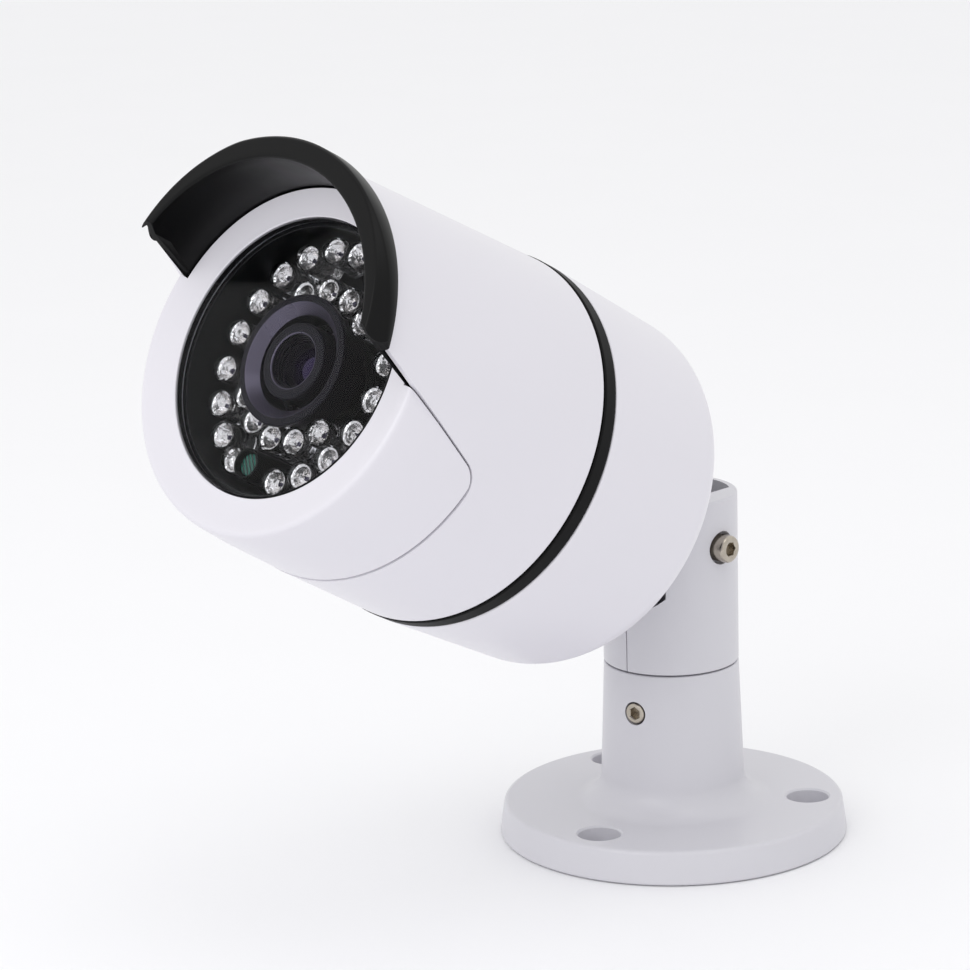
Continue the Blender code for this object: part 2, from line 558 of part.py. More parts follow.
# ---- neck, with the ring that locks the body on it ---------------------------------------------------
def make_neck(frame):
    profile = [(0.0, THREAD_END), (THREAD_RADIUS - THIN, THREAD_END),
               (THREAD_RADIUS, THREAD_END - THIN), (THREAD_RADIUS, THREAD_START),
               (NECK_RADIUS, THREAD_START - 2 * THIN), (NECK_RADIUS, 0.0), (0.0, 0.0)]
    knuckle = turned("tilt_knuckle", profile, frame, black_plastic(), 32, closed=False)
    disc = rod("add_knuckle", KNUCKLE_RADIUS, -KNUCKLE_HALF, KNUCKLE_HALF, frame, steps=32,
               rotation=ALONG_X)
    change(knuckle, disc, "UNION")
    change(knuckle, rod("cut_neck_bore", NECK_BORE, -BIG, BIG, frame))
    change(knuckle, rod("cut_knuckle_shank", TILT_SCREW_RADIUS + GAP, -BIG, BIG, frame, rotation=ALONG_X))

    bush = NECK_BORE - GAP
    top = THREAD_END + GAP + GROMMET_FLANGE
    profile = [(CORD_HOLE, top), (THREAD_RADIUS - 2 * THIN, top),
               (THREAD_RADIUS - THIN, THREAD_END + GAP), (bush, THREAD_END + GAP),
               (bush, top - GROMMET_LENGTH), (CORD_HOLE, top - GROMMET_LENGTH)]
    turned("cable_grommet", profile, frame, black_rubber(), COARSE)

    front = REAR_FACE - 2 * GAP
    back = front - LOCK_RING_LENGTH
    profile = [(HUB_BORE, front), (LOCK_RING_RADIUS - THIN, front), (LOCK_RING_RADIUS, front - THIN),
               (LOCK_RING_RADIUS, back + 2 * THIN), (LOCK_RING_RADIUS - 2 * THIN, back), (HUB_BORE, back)]
    ring = turned("lock_ring", profile, frame, black_plastic(), 36)
    bm = bmesh.new()
    for number in range(LOCK_RING_FLUTES):
        angle = math.tau * (number + 0.5) / LOCK_RING_FLUTES
        centre = (LOCK_RING_RADIUS + LOCK_RING_FLUTE / 2)
        flute = bmesh.ops.create_cone(bm, cap_ends=True, segments=8, radius1=LOCK_RING_FLUTE,
                                      radius2=LOCK_RING_FLUTE, depth=2 * LOCK_RING_LENGTH)
        bmesh.ops.translate(bm, verts=flute["verts"],
                            vec=(centre * math.cos(angle), centre * math.sin(angle), back))
    change(ring, from_bmesh("cut_flutes", bm, frame, (0, 0, 0), (0, 0, 0), None))


# ---- body shells -------------------------------------------------------------------------------------
def knee_curve(inset, count):
    """Rounded corner from the rear face to the side, as (radius, station), side first."""
    radius = KNEE_RADIUS - inset
    points = []
    for step in range(count + 1):
        angle = QUARTER * step / count
        points.append((radius - KNEE_WIDTH * (1 - math.cos(angle)),
                       REAR_FACE + inset + KNEE_LENGTH * (1 - math.sin(angle))))
    return points


def make_shells(frame):
    rear_end = BAND_START - GAP / 2
    inner = KNEE_RADIUS - SHELL_WALL
    recess = SEAL_RADIUS + GAP
    recess_floor = REAR_FACE + SEAL_THICK
    hub_end = REAR_FACE + HUB_LENGTH
    profile = [(TONGUE_BORE, TONGUE_END), (TONGUE_RADIUS, TONGUE_END), (TONGUE_RADIUS, rear_end),
               (BODY_RADIUS - GAP, rear_end), (BODY_RADIUS, rear_end - GAP)]
    profile += knee_curve(0.0, 5)
    profile += [(recess, REAR_FACE), (recess, recess_floor), (HUB_BORE, recess_floor),
                (HUB_BORE, hub_end), (HUB_RADIUS, hub_end), (HUB_RADIUS, REAR_FACE + SHELL_WALL)]
    profile += knee_curve(SHELL_WALL, 3)[::-1]
    profile += [(inner, rear_end - 5 * THIN - SHELL_WALL), (TONGUE_BORE, rear_end - SHELL_WALL)]
    turned("rear_shell", profile, frame, white_shell())

    profile = [(HUB_BORE, recess_floor - GAP), (SEAL_RADIUS, recess_floor - GAP),
               (SEAL_RADIUS, REAR_FACE - GAP), (HUB_BORE, REAR_FACE - GAP)]
    turned("neck_seal", profile, frame, black_rubber(), COARSE)

    profile = [(BAND_BORE, BAND_END - GAP / 2), (BODY_RADIUS, BAND_END - GAP / 2),
               (BODY_RADIUS, BAND_START + GAP / 2), (BAND_BORE, BAND_START + GAP / 2)]
    turned("body_band", profile, frame, black_rubber())

    start = BAND_END + GAP / 2
    bore_end = CHIN_EDGE - 5 * THIN
    profile = [(HOOD_SHELL_BORE, SHELL_FRONT), (SHELL_FRONT_RADIUS, SHELL_FRONT),
               (shell_radius(start), start), (BAND_BORE, start), (BAND_BORE, bore_end),
               (HOOD_SHELL_BORE, bore_end + 2 * THIN)]
    shell = turned("front_shell", profile, frame, white_shell())
    change(shell, prism("cut_chin_room", chin_outline(0.0), -BIG, BIG, frame, rotation=SIDE_VIEW))


def make_bezel(frame):
    rim = WINDOW_STATION + RIM_RISE
    tongue = max(CHIN_BACK - BEZEL_TONGUE, TONGUE_END + GAP)
    middle = ((RIM_RADIUS + CHIN_RADIUS) / 2, (rim + 2 * CHIN_BACK) / 3)
    profile = [(WINDOW_RADIUS, WINDOW_STATION), (WINDOW_RADIUS + 2 * THIN, WINDOW_STATION + GAP),
               (RIM_RADIUS - 3 * THIN, rim - GAP), (RIM_RADIUS - THIN, rim), (RIM_RADIUS, rim - THIN),
               (RIM_RADIUS + GAP, rim - 3 * THIN), middle, (CHIN_RADIUS, CHIN_BACK),
               (LINER_RADIUS, CHIN_BACK), (LINER_RADIUS, tongue), (BEZEL_CORE_RADIUS, tongue),
               (BEZEL_CORE_RADIUS, BEZEL_CORE_END),
               (WINDOW_RADIUS, BEZEL_CORE_END + 2 * THIN)]
    bezel = turned("front_bezel", profile, frame, white_shell())

    # above the seam the visor's lining and the shell pass over the bezel's tube
    above = turned("cut_over_bezel", [(BEZEL_TUBE_RADIUS, BIG), (BIG, BIG), (BIG, CHIN_BACK),
                                      (BEZEL_TUBE_RADIUS, CHIN_BACK)], frame)
    change(above, prism("keep_chin", chin_outline(GAP), -BIG, BIG, frame, rotation=SIDE_VIEW))
    change(bezel, above)

    lip_back = SHELL_FRONT + GAP
    profile = [(LINER_BORE, LIP_FRONT), (LIP_RADIUS, LIP_FRONT), (LIP_RADIUS, lip_back),
               (LINER_RADIUS, lip_back), (LINER_RADIUS, LINER_BACK), (LINER_BORE, LINER_BACK)]
    visor = turned("visor", profile, frame, black_plastic())
    slope_start, slope_end = -BIG, LIP_FRONT + 2 * THIN
    widest = LIP_SLOPE_RADIUS + LIP_SLOPE * (LIP_FRONT - slope_start)
    narrowest = LIP_SLOPE_RADIUS - LIP_SLOPE * (slope_end - LIP_FRONT)
    change(visor, rod("keep_lip_slope", widest, slope_start, slope_end, frame, steps=96,
                      location=(0, LIP_SLOPE_OFFSET, 0), end_radius=narrowest), "INTERSECT")
    back, front = LINER_BACK - BIG, LIP_FRONT + BIG
    below = [(seam_height(back), back), (seam_height(front), front), (-2 * BIG, front), (-2 * BIG, back)]
    change(visor, prism("cut_below_seam", below, -BIG, BIG, frame, rotation=SIDE_VIEW))

    head_top = LINER_RADIUS - THIN / 5
    head_low = LINER_BORE + GAP
    for name, angle in (("visor_screw_right", VISOR_SCREW_ANGLE), ("visor_screw_left", -VISOR_SCREW_ANGLE)):
        where = dict(location=(0, 0, VISOR_SCREW_STATION), rotation=(-QUARTER, 0, -angle))
        profile = [(0.0, head_top), (VISOR_SCREW_HEAD, head_top), (VISOR_SCREW_RADIUS, head_low),
                   (VISOR_SCREW_RADIUS, head_top - VISOR_SCREW_LENGTH),
                   (0.0, head_top - VISOR_SCREW_LENGTH)]
        turned(name, profile, frame, nickel(), 16, closed=False, **where)
        change(visor, rod("cut_" + name, VISOR_SCREW_RADIUS + GAP, head_low - GAP - THIN,
                          head_top + THIN, frame, steps=16,
                          end_radius=VISOR_SCREW_HEAD + 2 * GAP, **where))
        change(bezel, rod("cut_bezel_" + name, VISOR_SCREW_RADIUS + GAP,
                          head_top - VISOR_SCREW_LENGTH - GAP, BIG, frame, steps=16, **where))


# ---- window and lights -------------------------------------------------------------------------------
def make_window(frame):
    rod("window_glass", SHROUD_RADIUS, GLASS_BACK, GLASS_FRONT, frame, lens_glass(), FINE)
    top = GLASS_BACK - GAP
    foot = LED_BOARD_BACK - BOARD_THICK
    profile = [(SHROUD_BORE, top), (SHROUD_RADIUS, top), (SHROUD_RADIUS, foot), (SHROUD_BORE, foot)]
    turned("led_shroud", profile, frame, black_plastic())
    board = SHROUD_BORE - GAP
    profile = [(LED_BOARD_HOLE, LED_BOARD_FRONT), (board, LED_BOARD_FRONT), (board, LED_BOARD_BACK),
               (LED_BOARD_HOLE, LED_BOARD_BACK)]
    turned("led_board", profile, frame, circuit_board())


def led_spot(ring, degrees):
    """Place of a LED, measured from the top towards +X."""
    angle = math.radians(degrees)
    if ring == "outer":
        return OUTER_HALF_WIDTH * math.sin(angle), OUTER_HALF_HEIGHT * math.cos(angle)
    return INNER_LED_RADIUS * math.sin(angle), INNER_LED_RADIUS * math.cos(angle)


def strip_outline(ring, first, last):
    """Outline of the soldered strip that joins a string's leads."""
    half = STRIP_WIDTH / 2
    outer, inner = [], []
    count = 8
    first, last = first - STRIP_OVERRUN, last + STRIP_OVERRUN
    for step in range(count + 1):
        x, y = led_spot(ring, first + (last - first) * step / count)
        reach = math.hypot(x, y)
        outer.append((x * (1 + half / reach), y * (1 + half / reach)))
        inner.append((x * (1 - half / reach), y * (1 - half / reach)))
    return outer + inner[::-1]


def add_led(bm, spot, lead_end):
    """One LED, turned round its own axis: dome, barrel and leads."""
    shoulder = LED_FOOT + LED_LENGTH - LED_RADIUS
    dome = arc((0.0, shoulder), LED_RADIUS, 90, 0, 3)
    profile = dome + [(LED_RADIUS, LED_FOOT), (LED_LEAD, LED_FOOT), (LED_LEAD, lead_end), (0.0, lead_end)]
    verts = [bm.verts.new((spot[0] + radius, spot[1], height)) for radius, height in profile]
    edges = [bm.edges.new(pair) for pair in zip(verts, verts[1:])]
    bmesh.ops.spin(bm, geom=verts + edges, cent=(*spot, 0.0), axis=(0, 0, 1), angle=math.tau, steps=8,
                   use_merge=True)


def make_leds(frame):
    each_side = int((180 - SENSOR_OPENING) / OUTER_LED_STEP)
    outer = [OUTER_LED_STEP * number for number in range(-each_side, each_side + 1)]
    ends = [math.ceil(len(outer) * number / OUTER_STRINGS) for number in range(OUTER_STRINGS + 1)]
    strings = [("outer", outer[start:end]) for start, end in zip(ends, ends[1:])]
    strings.append(("inner", [INNER_LED_STEP * (number - 1.5) for number in range(4)]))
    strings.append(("inner", [180 + INNER_LED_STEP * (number - 2) for number in range(5)]))
    strip_back = LED_BOARD_FRONT + GAP
    for number, (ring, angles) in enumerate(strings, 1):
        strip = prism(f"led_string_{number}", strip_outline(ring, angles[0], angles[-1]), strip_back,
                      strip_back + STRIP_THICK, frame, clear_epoxy())
        bm = bmesh.new()
        for angle in angles:
            add_led(bm, led_spot(ring, angle), strip_back + STRIP_THICK / 4)
        bmesh.ops.remove_doubles(bm, verts=bm.verts, dist=0.00001)
        bmesh.ops.recalc_face_normals(bm, faces=bm.faces)
        change(strip, from_bmesh(f"add_leds_{number}", bm, frame, (0, 0, 0), (0, 0, 0), None), "UNION")

    spot = (0, CELL_HEIGHT, 0)
    foot = LED_BOARD_FRONT + GAP
    rod("photocell", CELL_RADIUS, foot, foot + LED_LENGTH - CELL_UNDER_LED, frame,
        material("sensor_green", "1E5A46", 0.3), 16, spot)
    top = foot + LED_LENGTH + SLEEVE_OVER_LED
    profile = [(SLEEVE_BORE, top), (SLEEVE_RADIUS, top), (SLEEVE_RADIUS, foot), (SLEEVE_BORE, foot)]
    turned("photocell_sleeve", profile, frame, black_rubber(), 20, spot)


# ---- lens --------------------------------------------------------------------------------------------
def make_lens(frame):
    top = GLASS_BACK - GAP
    profile = [(HOOD_TUBE_RADIUS, top), (HOOD_RADIUS, top), (HOOD_RADIUS, top - HOOD_FLANGE),
               (HOOD_TUBE_RADIUS, top - HOOD_FLANGE), (HOOD_TUBE_RADIUS, top - HOOD_LENGTH),
               (HOOD_BORE, top - HOOD_LENGTH), (HOOD_BORE, top - HOOD_FLANGE - THIN)]
    turned("lens_hood", profile, frame, black_rubber(), 32)

    shoulder = BARREL_FRONT - BARREL_HEAD_LENGTH
    pocket = FRONT_LENS_RADIUS + GAP
    pocket_top = BARREL_FRONT - BARREL_MOUTH_DEPTH
    seat = pocket_top - FRONT_LENS_THICK - 2 * GAP
    rear_pocket = REAR_LENS_RADIUS + GAP
    rear_seat = BARREL_BACK + REAR_LENS_THICK + 2 * THIN
    profile = [(BARREL_MOUTH, BARREL_FRONT), (BARREL_RADIUS - THIN, BARREL_FRONT),
               (BARREL_RADIUS, BARREL_FRONT - THIN), (BARREL_RADIUS, shoulder),
               (BARREL_THREAD_RADIUS, shoulder), (BARREL_THREAD_RADIUS, BARREL_BACK),
               (rear_pocket, BARREL_BACK), (rear_pocket, rear_seat), (APERTURE_RADIUS, rear_seat),
               (APERTURE_RADIUS, seat),
               (pocket, seat), (pocket, pocket_top)]
    turned("lens_barrel", profile, frame, black_plastic(), COARSE)

    crown = FRONT_LENS_THICK * 0.4
    face = seat + GAP + FRONT_LENS_THICK
    profile = [(0.0, face), (FRONT_LENS_RADIUS / 2, face - crown / 4), (FRONT_LENS_RADIUS, face - crown),
               (FRONT_LENS_RADIUS, seat + GAP), (0.0, seat + GAP)]
    turned("front_lens", profile, frame, lens_glass(), COARSE, closed=False)
    rod("rear_lens", REAR_LENS_RADIUS, rear_seat - GAP - REAR_LENS_THICK, rear_seat - GAP, frame,
        lens_glass(), COARSE)


# ---- electronics -------------------------------------------------------------------------------------
def make_electronics(frame):
    half = BOARD_SIDE / 2
    board_front = SENSOR_BOARD_BACK + BOARD_THICK
    for name, back in (("sensor_board", SENSOR_BOARD_BACK), ("video_board", VIDEO_BOARD_BACK)):
        box(name, (-half, -half, back), (half, half, back + BOARD_THICK), frame, green_board())
    seat = board_front + GAP
    edge = SENSOR_SIDE / 2
    box("image_sensor", (-edge, -edge, seat), (edge, edge, seat + SENSOR_THICK), frame, circuit_board())

    wide, top = HOLDER_TUBE_RADIUS + HOLDER_SIDE, HOLDER_TUBE_RADIUS + HOLDER_TOP
    block_end = seat + HOLDER_BLOCK_LENGTH
    holder = box("lens_holder", (-wide, -top, seat), (wide, top, block_end), frame, black_plastic())
    change(holder, rod("add_holder_tube", HOLDER_TUBE_RADIUS, block_end - THIN, HOLDER_FRONT, frame,
                       steps=32), "UNION")
    change(holder, rod("cut_holder_bore", HOLDER_BORE, -BIG, BIG, frame, steps=FINE))
    pocket = edge + GAP
    change(holder, box("cut_sensor_pocket", (-pocket, -pocket, seat - GAP),
                       (pocket, pocket, seat + SENSOR_THICK + GAP), frame))
    reach = FILTER_HEIGHT / 2
    change(holder, box("cut_filter_slot", (-BIG, -reach - GAP, FILTER_BACK - GAP),
                       (BIG, reach + GAP, FILTER_BACK + FILTER_THICK + GAP), frame))
    filter_right = FILTER_LENGTH / 2 - FILTER_TRAVEL / 2
    box("ir_cut_filter", (filter_right - FILTER_LENGTH, -reach, FILTER_BACK),
        (filter_right, reach, FILTER_BACK + FILTER_THICK), frame, lens_glass())
    wide, tall, deep = SOLENOID_SIZE
    box("ir_cut_solenoid", (-wide / 2, top + GAP, seat), (wide / 2, top + GAP + tall, seat + deep), frame,
        brass())
    wide, tall, deep = CONNECTOR_SIZE
    socket_front = VIDEO_BOARD_BACK - GAP
    box("board_connector", (-wide / 2, CONNECTOR_HEIGHT - tall / 2, socket_front - deep),
        (wide / 2, CONNECTOR_HEIGHT + tall / 2, socket_front), frame, material("nylon", "E8E2D0", 0.5))

    corners = ((1, 1), (-1, 1), (-1, -1), (1, -1))
    for number, (right, up) in enumerate(corners, 1):
        spot = (right * POST_OFFSET, up * POST_OFFSET, 0)
        hex_rod(f"board_post_{number}", POST_FLATS, VIDEO_BOARD_BACK + BOARD_THICK + GAP,
                SENSOR_BOARD_BACK - GAP, frame, brass(), spot)
    for number, (right, up) in enumerate(corners[::2], 1):
        spot = (right * POST_OFFSET, up * POST_OFFSET, 0)
        hex_rod(f"led_post_{number}", POST_FLATS, board_front + GAP, LED_BOARD_BACK - GAP, frame, brass(),
                spot)


# ---- the whole camera --------------------------------------------------------------------------------
for old in list(bpy.data.objects):
    bpy.data.objects.remove(old, do_unlink=True)

PARTS = bpy.data.collections.new("security_camera")
CUTTERS = bpy.data.collections.new("cutters")
for group in (PARTS, CUTTERS):
    bpy.context.scene.collection.children.link(group)

base_axis = empty("base_axis", rotation=(0, 0, BASE_TURN))
pan_axis = empty("pan_axis")
tilt_axis = empty("tilt_axis", pan_axis, (0, 0, PIVOT_HEIGHT), (QUARTER - TILT, 0, 0))
body_axis = empty("body_axis", tilt_axis, rotation=(0, 0, -ROLL))

make_base(base_axis)
make_head(pan_axis)
make_neck(tilt_axis)
make_shells(body_axis)
make_bezel(body_axis)
make_window(body_axis)
make_leds(body_axis)
make_lens(body_axis)
make_electronics(body_axis)
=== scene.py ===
"""Bullet security camera on its wall and ceiling bracket: the fine surfaces and the finishes.

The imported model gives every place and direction. Camera pieces are modelled in the body's own frame:
its origin is the tilt pivot, local +Z runs forward along the body and local +Y is the body's top.
Lengths in the modelling code are millimetres, and piece() turns them into metres as it places a mesh.
"""
import json
import math

import bmesh
import bpy
from mathutils import Matrix, Vector


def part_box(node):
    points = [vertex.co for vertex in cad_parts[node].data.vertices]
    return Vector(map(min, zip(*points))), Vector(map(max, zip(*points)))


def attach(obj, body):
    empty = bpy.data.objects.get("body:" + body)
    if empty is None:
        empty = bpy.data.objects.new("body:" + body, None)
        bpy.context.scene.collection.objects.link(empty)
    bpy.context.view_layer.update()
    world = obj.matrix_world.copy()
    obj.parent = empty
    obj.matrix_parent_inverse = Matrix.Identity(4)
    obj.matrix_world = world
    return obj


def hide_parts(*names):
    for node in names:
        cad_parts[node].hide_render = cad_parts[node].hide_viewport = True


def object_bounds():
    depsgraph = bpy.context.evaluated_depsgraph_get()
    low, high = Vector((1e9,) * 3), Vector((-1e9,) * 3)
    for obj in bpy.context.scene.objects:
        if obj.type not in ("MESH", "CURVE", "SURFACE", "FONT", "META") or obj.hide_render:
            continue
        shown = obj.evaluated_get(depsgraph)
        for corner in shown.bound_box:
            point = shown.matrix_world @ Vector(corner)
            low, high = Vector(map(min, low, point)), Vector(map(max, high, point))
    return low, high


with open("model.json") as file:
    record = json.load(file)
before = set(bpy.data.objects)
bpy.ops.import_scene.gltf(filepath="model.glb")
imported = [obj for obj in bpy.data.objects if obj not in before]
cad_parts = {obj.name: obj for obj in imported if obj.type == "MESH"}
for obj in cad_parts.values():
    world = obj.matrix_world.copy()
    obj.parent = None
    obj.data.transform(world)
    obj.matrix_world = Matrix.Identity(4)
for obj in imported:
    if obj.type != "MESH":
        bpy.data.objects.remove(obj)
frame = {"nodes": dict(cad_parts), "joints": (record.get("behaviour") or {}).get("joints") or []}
CAD_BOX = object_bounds()

bl_info = {
    "name": "Bullet security camera",
    "version": (1, 0, 0),
    "blender": (4, 5, 0),
    "location": "3D View > Sidebar > Bullet camera",
    "description": "Builds the shells, visor, lights, lens and bracket of a bullet camera",
    "category": "Object",
}

MM = 0.001
FULL = math.tau
QUARTER = math.pi / 2
ROUND = 144                          # sides of the big turned pieces
SMALL = 48                           # sides of screws, lights and lens pieces
BIG = 300.0                          # reach of a cutter that runs right past a piece
SUPPORT = 0.12                       # distance of the loop that holds a rounded edge

ALONG_X = Matrix.Rotation(QUARTER, 4, "Y")
ALONG_MINUS_Y = Matrix.Rotation(QUARTER, 4, "X")
SIDE_VIEW = Matrix((Vector((0, 1, 0)), Vector((0, 0, 1)), Vector((1, 0, 0)))).transposed().to_4x4()


# ---- places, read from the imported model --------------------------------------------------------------
def joint(name):
    return next(j for j in frame["joints"] if j["name"] == name)


def axes_at(point, right, forward):
    """Frame in millimetres with local X to the right and local Z forward."""
    right, forward = Vector(right).normalized(), Vector(forward).normalized()
    turn = Matrix((right, forward.cross(right), forward)).transposed().to_4x4()
    return Matrix.Translation(Vector(point)) @ turn @ Matrix.Scale(MM, 4)


def measure(node, place):
    """(lowest station, highest station, smallest radius, largest radius) of a node along local Z."""
    back = place.inverted()
    points = [back @ v.co for v in frame["nodes"][node].data.vertices]
    stations = [p.z for p in points]
    radii = [math.hypot(p.x, p.y) for p in points]
    return min(stations), max(stations), min(radii), max(radii)


WORLD = Matrix.Scale(MM, 4)
BODY = axes_at(joint("roll")["pos_m"], joint("ir_cut")["axis"], joint("roll")["axis"])
NECK = axes_at(joint("roll")["pos_m"], [-c for c in joint("tilt")["axis"]], joint("roll")["axis"])
PIVOT = axes_at(joint("tilt")["pos_m"], (1, 0, 0), (0, 0, 1))
SET_SCREW_LOW, SET_SCREW_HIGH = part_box("pan_set_screw")
SET_SCREW_MIDDLE = (SET_SCREW_LOW + SET_SCREW_HIGH) / 2
BASE_TURN = math.atan2(SET_SCREW_MIDDLE.x, -SET_SCREW_MIDDLE.y)
BASE = Matrix.Rotation(BASE_TURN, 4, "Z") @ WORLD

REAR_FACE, TONGUE_END, _, BODY_RADIUS = measure("rear_shell", BODY)
BAND_START, BAND_END, BAND_BORE, _ = measure("body_band", BODY)
SHELL_START, SHELL_FRONT, HOOD_BORE, SHELL_RADIUS = measure("front_shell", BODY)
BEZEL_BACK, RIM_CREST, WINDOW_RADIUS, CHIN_RADIUS = measure("front_bezel", BODY)
LINER_BACK, LIP_FRONT, LINER_BORE, LIP_RADIUS = measure("visor", BODY)
GLASS_BACK, GLASS_FRONT, _, GLASS_RADIUS = measure("window_glass", BODY)
SHROUD_BACK, SHROUD_FRONT, SHROUD_BORE, SHROUD_RADIUS = measure("led_shroud", BODY)
_, BOARD_FRONT, _, _ = measure("led_board", BODY)
LENS_HOOD_BACK, LENS_HOOD_FRONT, LENS_HOOD_BORE, LENS_HOOD_RADIUS = measure("lens_hood", BODY)
BARREL_BACK, BARREL_FRONT, _, BARREL_RADIUS = measure("lens_barrel", BODY)
RING_BACK, RING_FRONT, RING_BORE, RING_RADIUS = measure("lock_ring", NECK)
_, THREAD_END, _, _ = measure("tilt_knuckle", NECK)
_, FLANGE_STEM_TOP, _, FLANGE_RADIUS = measure("base_flange", WORLD)
HEAD_BOTTOM, HEAD_TOP, _, HEAD_RADIUS = measure("head_half_right", WORLD)


# ---- colours -----------------------------------------------------------------------------------------
def linear(code):
    """Linear colour of a six-digit sRGB hex code."""
    channels = [int(code[i:i + 2], 16) / 255 for i in (0, 2, 4)]
    return [c / 12.92 if c <= 0.04045 else ((c + 0.055) / 1.055) ** 2.4 for c in channels]


def colour(name, description, code):
    return bpy.props.FloatVectorProperty(name=name, description=description, subtype="COLOR", size=3,
                                         min=0.0, max=1.0, default=linear(code))


class CameraColours(bpy.types.PropertyGroup):
    """Colours that a maker would change."""
    shell: colour("Shell", "Paint on the camera's body", "DDDBE2")
    bracket: colour("Bracket", "Paint on the bracket", "CDCCD2")
    visor: colour("Visor", "Moulded sun visor", "040405")
    trim: colour("Trim", "Rubber band and seals", "0A0A0B")
    plating: colour("Plating", "Screws", "B9B1A5")
    lens_ring: colour("Lens ring", "Anodised rings round the lens", "110D17")
    floor: colour("Floor", "Studio floor", "F6F6F8")


class CameraSizes(bpy.types.PropertyGroup):
    """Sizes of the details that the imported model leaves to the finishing."""
    seam_gap: bpy.props.FloatProperty(name="Seam gap", description="Gap between the hood and the chin",
                                      default=0.2 * MM, unit="LENGTH", precision=5)
    edge_round: bpy.props.FloatProperty(name="Edge round", description="Radius on the shells' edges",
                                        default=0.35 * MM, unit="LENGTH", precision=5)
    lip_round: bpy.props.FloatProperty(name="Lip round", description="Radius at the visor's two ends",
                                       default=1.7 * MM, unit="LENGTH", precision=5)
    orange_peel: bpy.props.FloatProperty(name="Orange peel", description="Height of the paint's ripple",
                                         default=0.006 * MM, unit="LENGTH", precision=6)


def sizes():
    return bpy.context.scene.camera_sizes


def colours():
    return bpy.context.scene.camera_colours


def opaque(rgb):
    return (*rgb, 1.0)


# ---- materials ---------------------------------------------------------------------------------------
def add(tree, kind, values=None, links=None, **settings):
    """Adds a shader node with its settings, its inputs' values and the (node, output) that feed them."""
    made = tree.nodes.new("ShaderNode" + kind)
    for name, value in settings.items():
        setattr(made, name, value)
    for name, value in (values or {}).items():
        made.inputs[name].default_value = value
    for name, (source, output) in (links or {}).items():
        tree.links.new(source.outputs[output], made.inputs[name])
    return made


def start(name):
    """An empty material: its tree, its Principled shader and its object coordinates."""
    made = bpy.data.materials.new(name)
    made.use_nodes = True
    tree = made.node_tree
    shader = tree.nodes["Principled BSDF"]
    return made, tree, shader, add(tree, "TexCoord")


def ramp(tree, source, output, stops):
    """A colour ramp over the given (position, colour) stops."""
    made = add(tree, "ValToRGB", links={"Fac": (source, output)})
    elements = made.color_ramp.elements
    while len(elements) < len(stops):
        elements.new(0.5)
    for element, (position, rgb) in zip(elements, stops):
        element.position = position
        element.color = opaque(rgb)
    return made


def per_mm(size):
    """Texture scale that gives features of this size, in millimetres, on coordinates in metres."""
    return 1.0 / (size * MM)


def shade(rgb, amount):
    return [min(1.0, c * amount) for c in rgb]


def grained(name, rgb, roughness, grain, height, metallic=0.0, mottle=0.04, mottle_size=18.0,
            rough_change=0.06, stretch=(1, 1, 1), **inputs):
    """A finish with a fine surface grain, a slow drift of its colour and patches of wear in its gloss."""
    made, tree, shader, place = start(name)
    shader.inputs["Metallic"].default_value = metallic
    for key, value in inputs.items():
        shader.inputs[key.replace("_", " ")].default_value = value
    mapping = add(tree, "Mapping", {"Scale": stretch}, {"Vector": (place, "Object")})
    drift = add(tree, "TexNoise", {"Scale": per_mm(mottle_size), "Detail": 3.0},
                {"Vector": (place, "Object")})
    tone = ramp(tree, drift, "Fac", [(0.15, shade(rgb, 1 - mottle)), (0.85, shade(rgb, 1 + mottle / 2))])
    fine = add(tree, "TexNoise", {"Scale": per_mm(grain), "Detail": 2.0, "Roughness": 0.55},
               {"Vector": (mapping, "Vector")})
    gloss = add(tree, "MapRange", {"From Min": 0.15, "From Max": 0.85, "To Min": roughness - rough_change,
                                   "To Max": roughness + rough_change}, {"Value": (drift, "Fac")})
    bump = add(tree, "Bump", {"Strength": 1.0, "Distance": height * MM}, {"Height": (fine, "Fac")})
    tree.links.new(tone.outputs["Color"], shader.inputs["Base Color"])
    tree.links.new(gloss.outputs["Result"], shader.inputs["Roughness"])
    tree.links.new(bump.outputs["Normal"], shader.inputs["Normal"])
    return made


def powder_coat(name, rgb, roughness):
    """Baked powder coat on die-cast aluminium: a hard satin skin with a faint orange peel."""
    ripple = sizes().orange_peel / MM
    made = grained(name, rgb, roughness, 1.6, ripple, mottle=0.015, mottle_size=30.0, rough_change=0.03,
                   IOR=1.5)
    made.node_tree.nodes["Principled BSDF"].inputs["Coat Weight"].default_value = 0.15
    made.node_tree.nodes["Principled BSDF"].inputs["Coat Roughness"].default_value = 0.12
    return made


def moulded_abs():
    """Black ABS moulded in a spark-eroded tool: satin, with a grain of about a quarter millimetre."""
    return grained("moulded_black_abs", list(colours().visor), 0.34, 0.28, 0.006, mottle=0.10,
                   mottle_size=9.0, rough_change=0.05, IOR=1.53, Specular_IOR_Level=0.16)


def moulded_nylon():
    """Glass-filled black nylon: duller than ABS, with a drawn fibre grain."""
    return grained("moulded_black_nylon", linear("0C0C0D"), 0.5, 0.35, 0.02, mottle=0.15, mottle_size=5.0,
                   stretch=(1, 1, 0.3), IOR=1.53, Specular_IOR_Level=0.25)


def shroud_plastic():
    """Matt black polycarbonate with flow lines round the light shroud, which greys it a little."""
    return grained("moulded_shroud_plastic", linear("101012"), 0.34, 0.5, 0.006, mottle=0.2,
                   mottle_size=6.0, stretch=(1, 1, 0.2), IOR=1.58, Specular_IOR_Level=0.18)


def moulded_rubber():
    """Black EPDM rubber from a mould: nearly matt, bloomed a little grey."""
    return grained("moulded_epdm_rubber", list(colours().trim), 0.5, 0.4, 0.01, mottle=0.2,
                   mottle_size=4.0, IOR=1.5, Specular_IOR_Level=0.12)


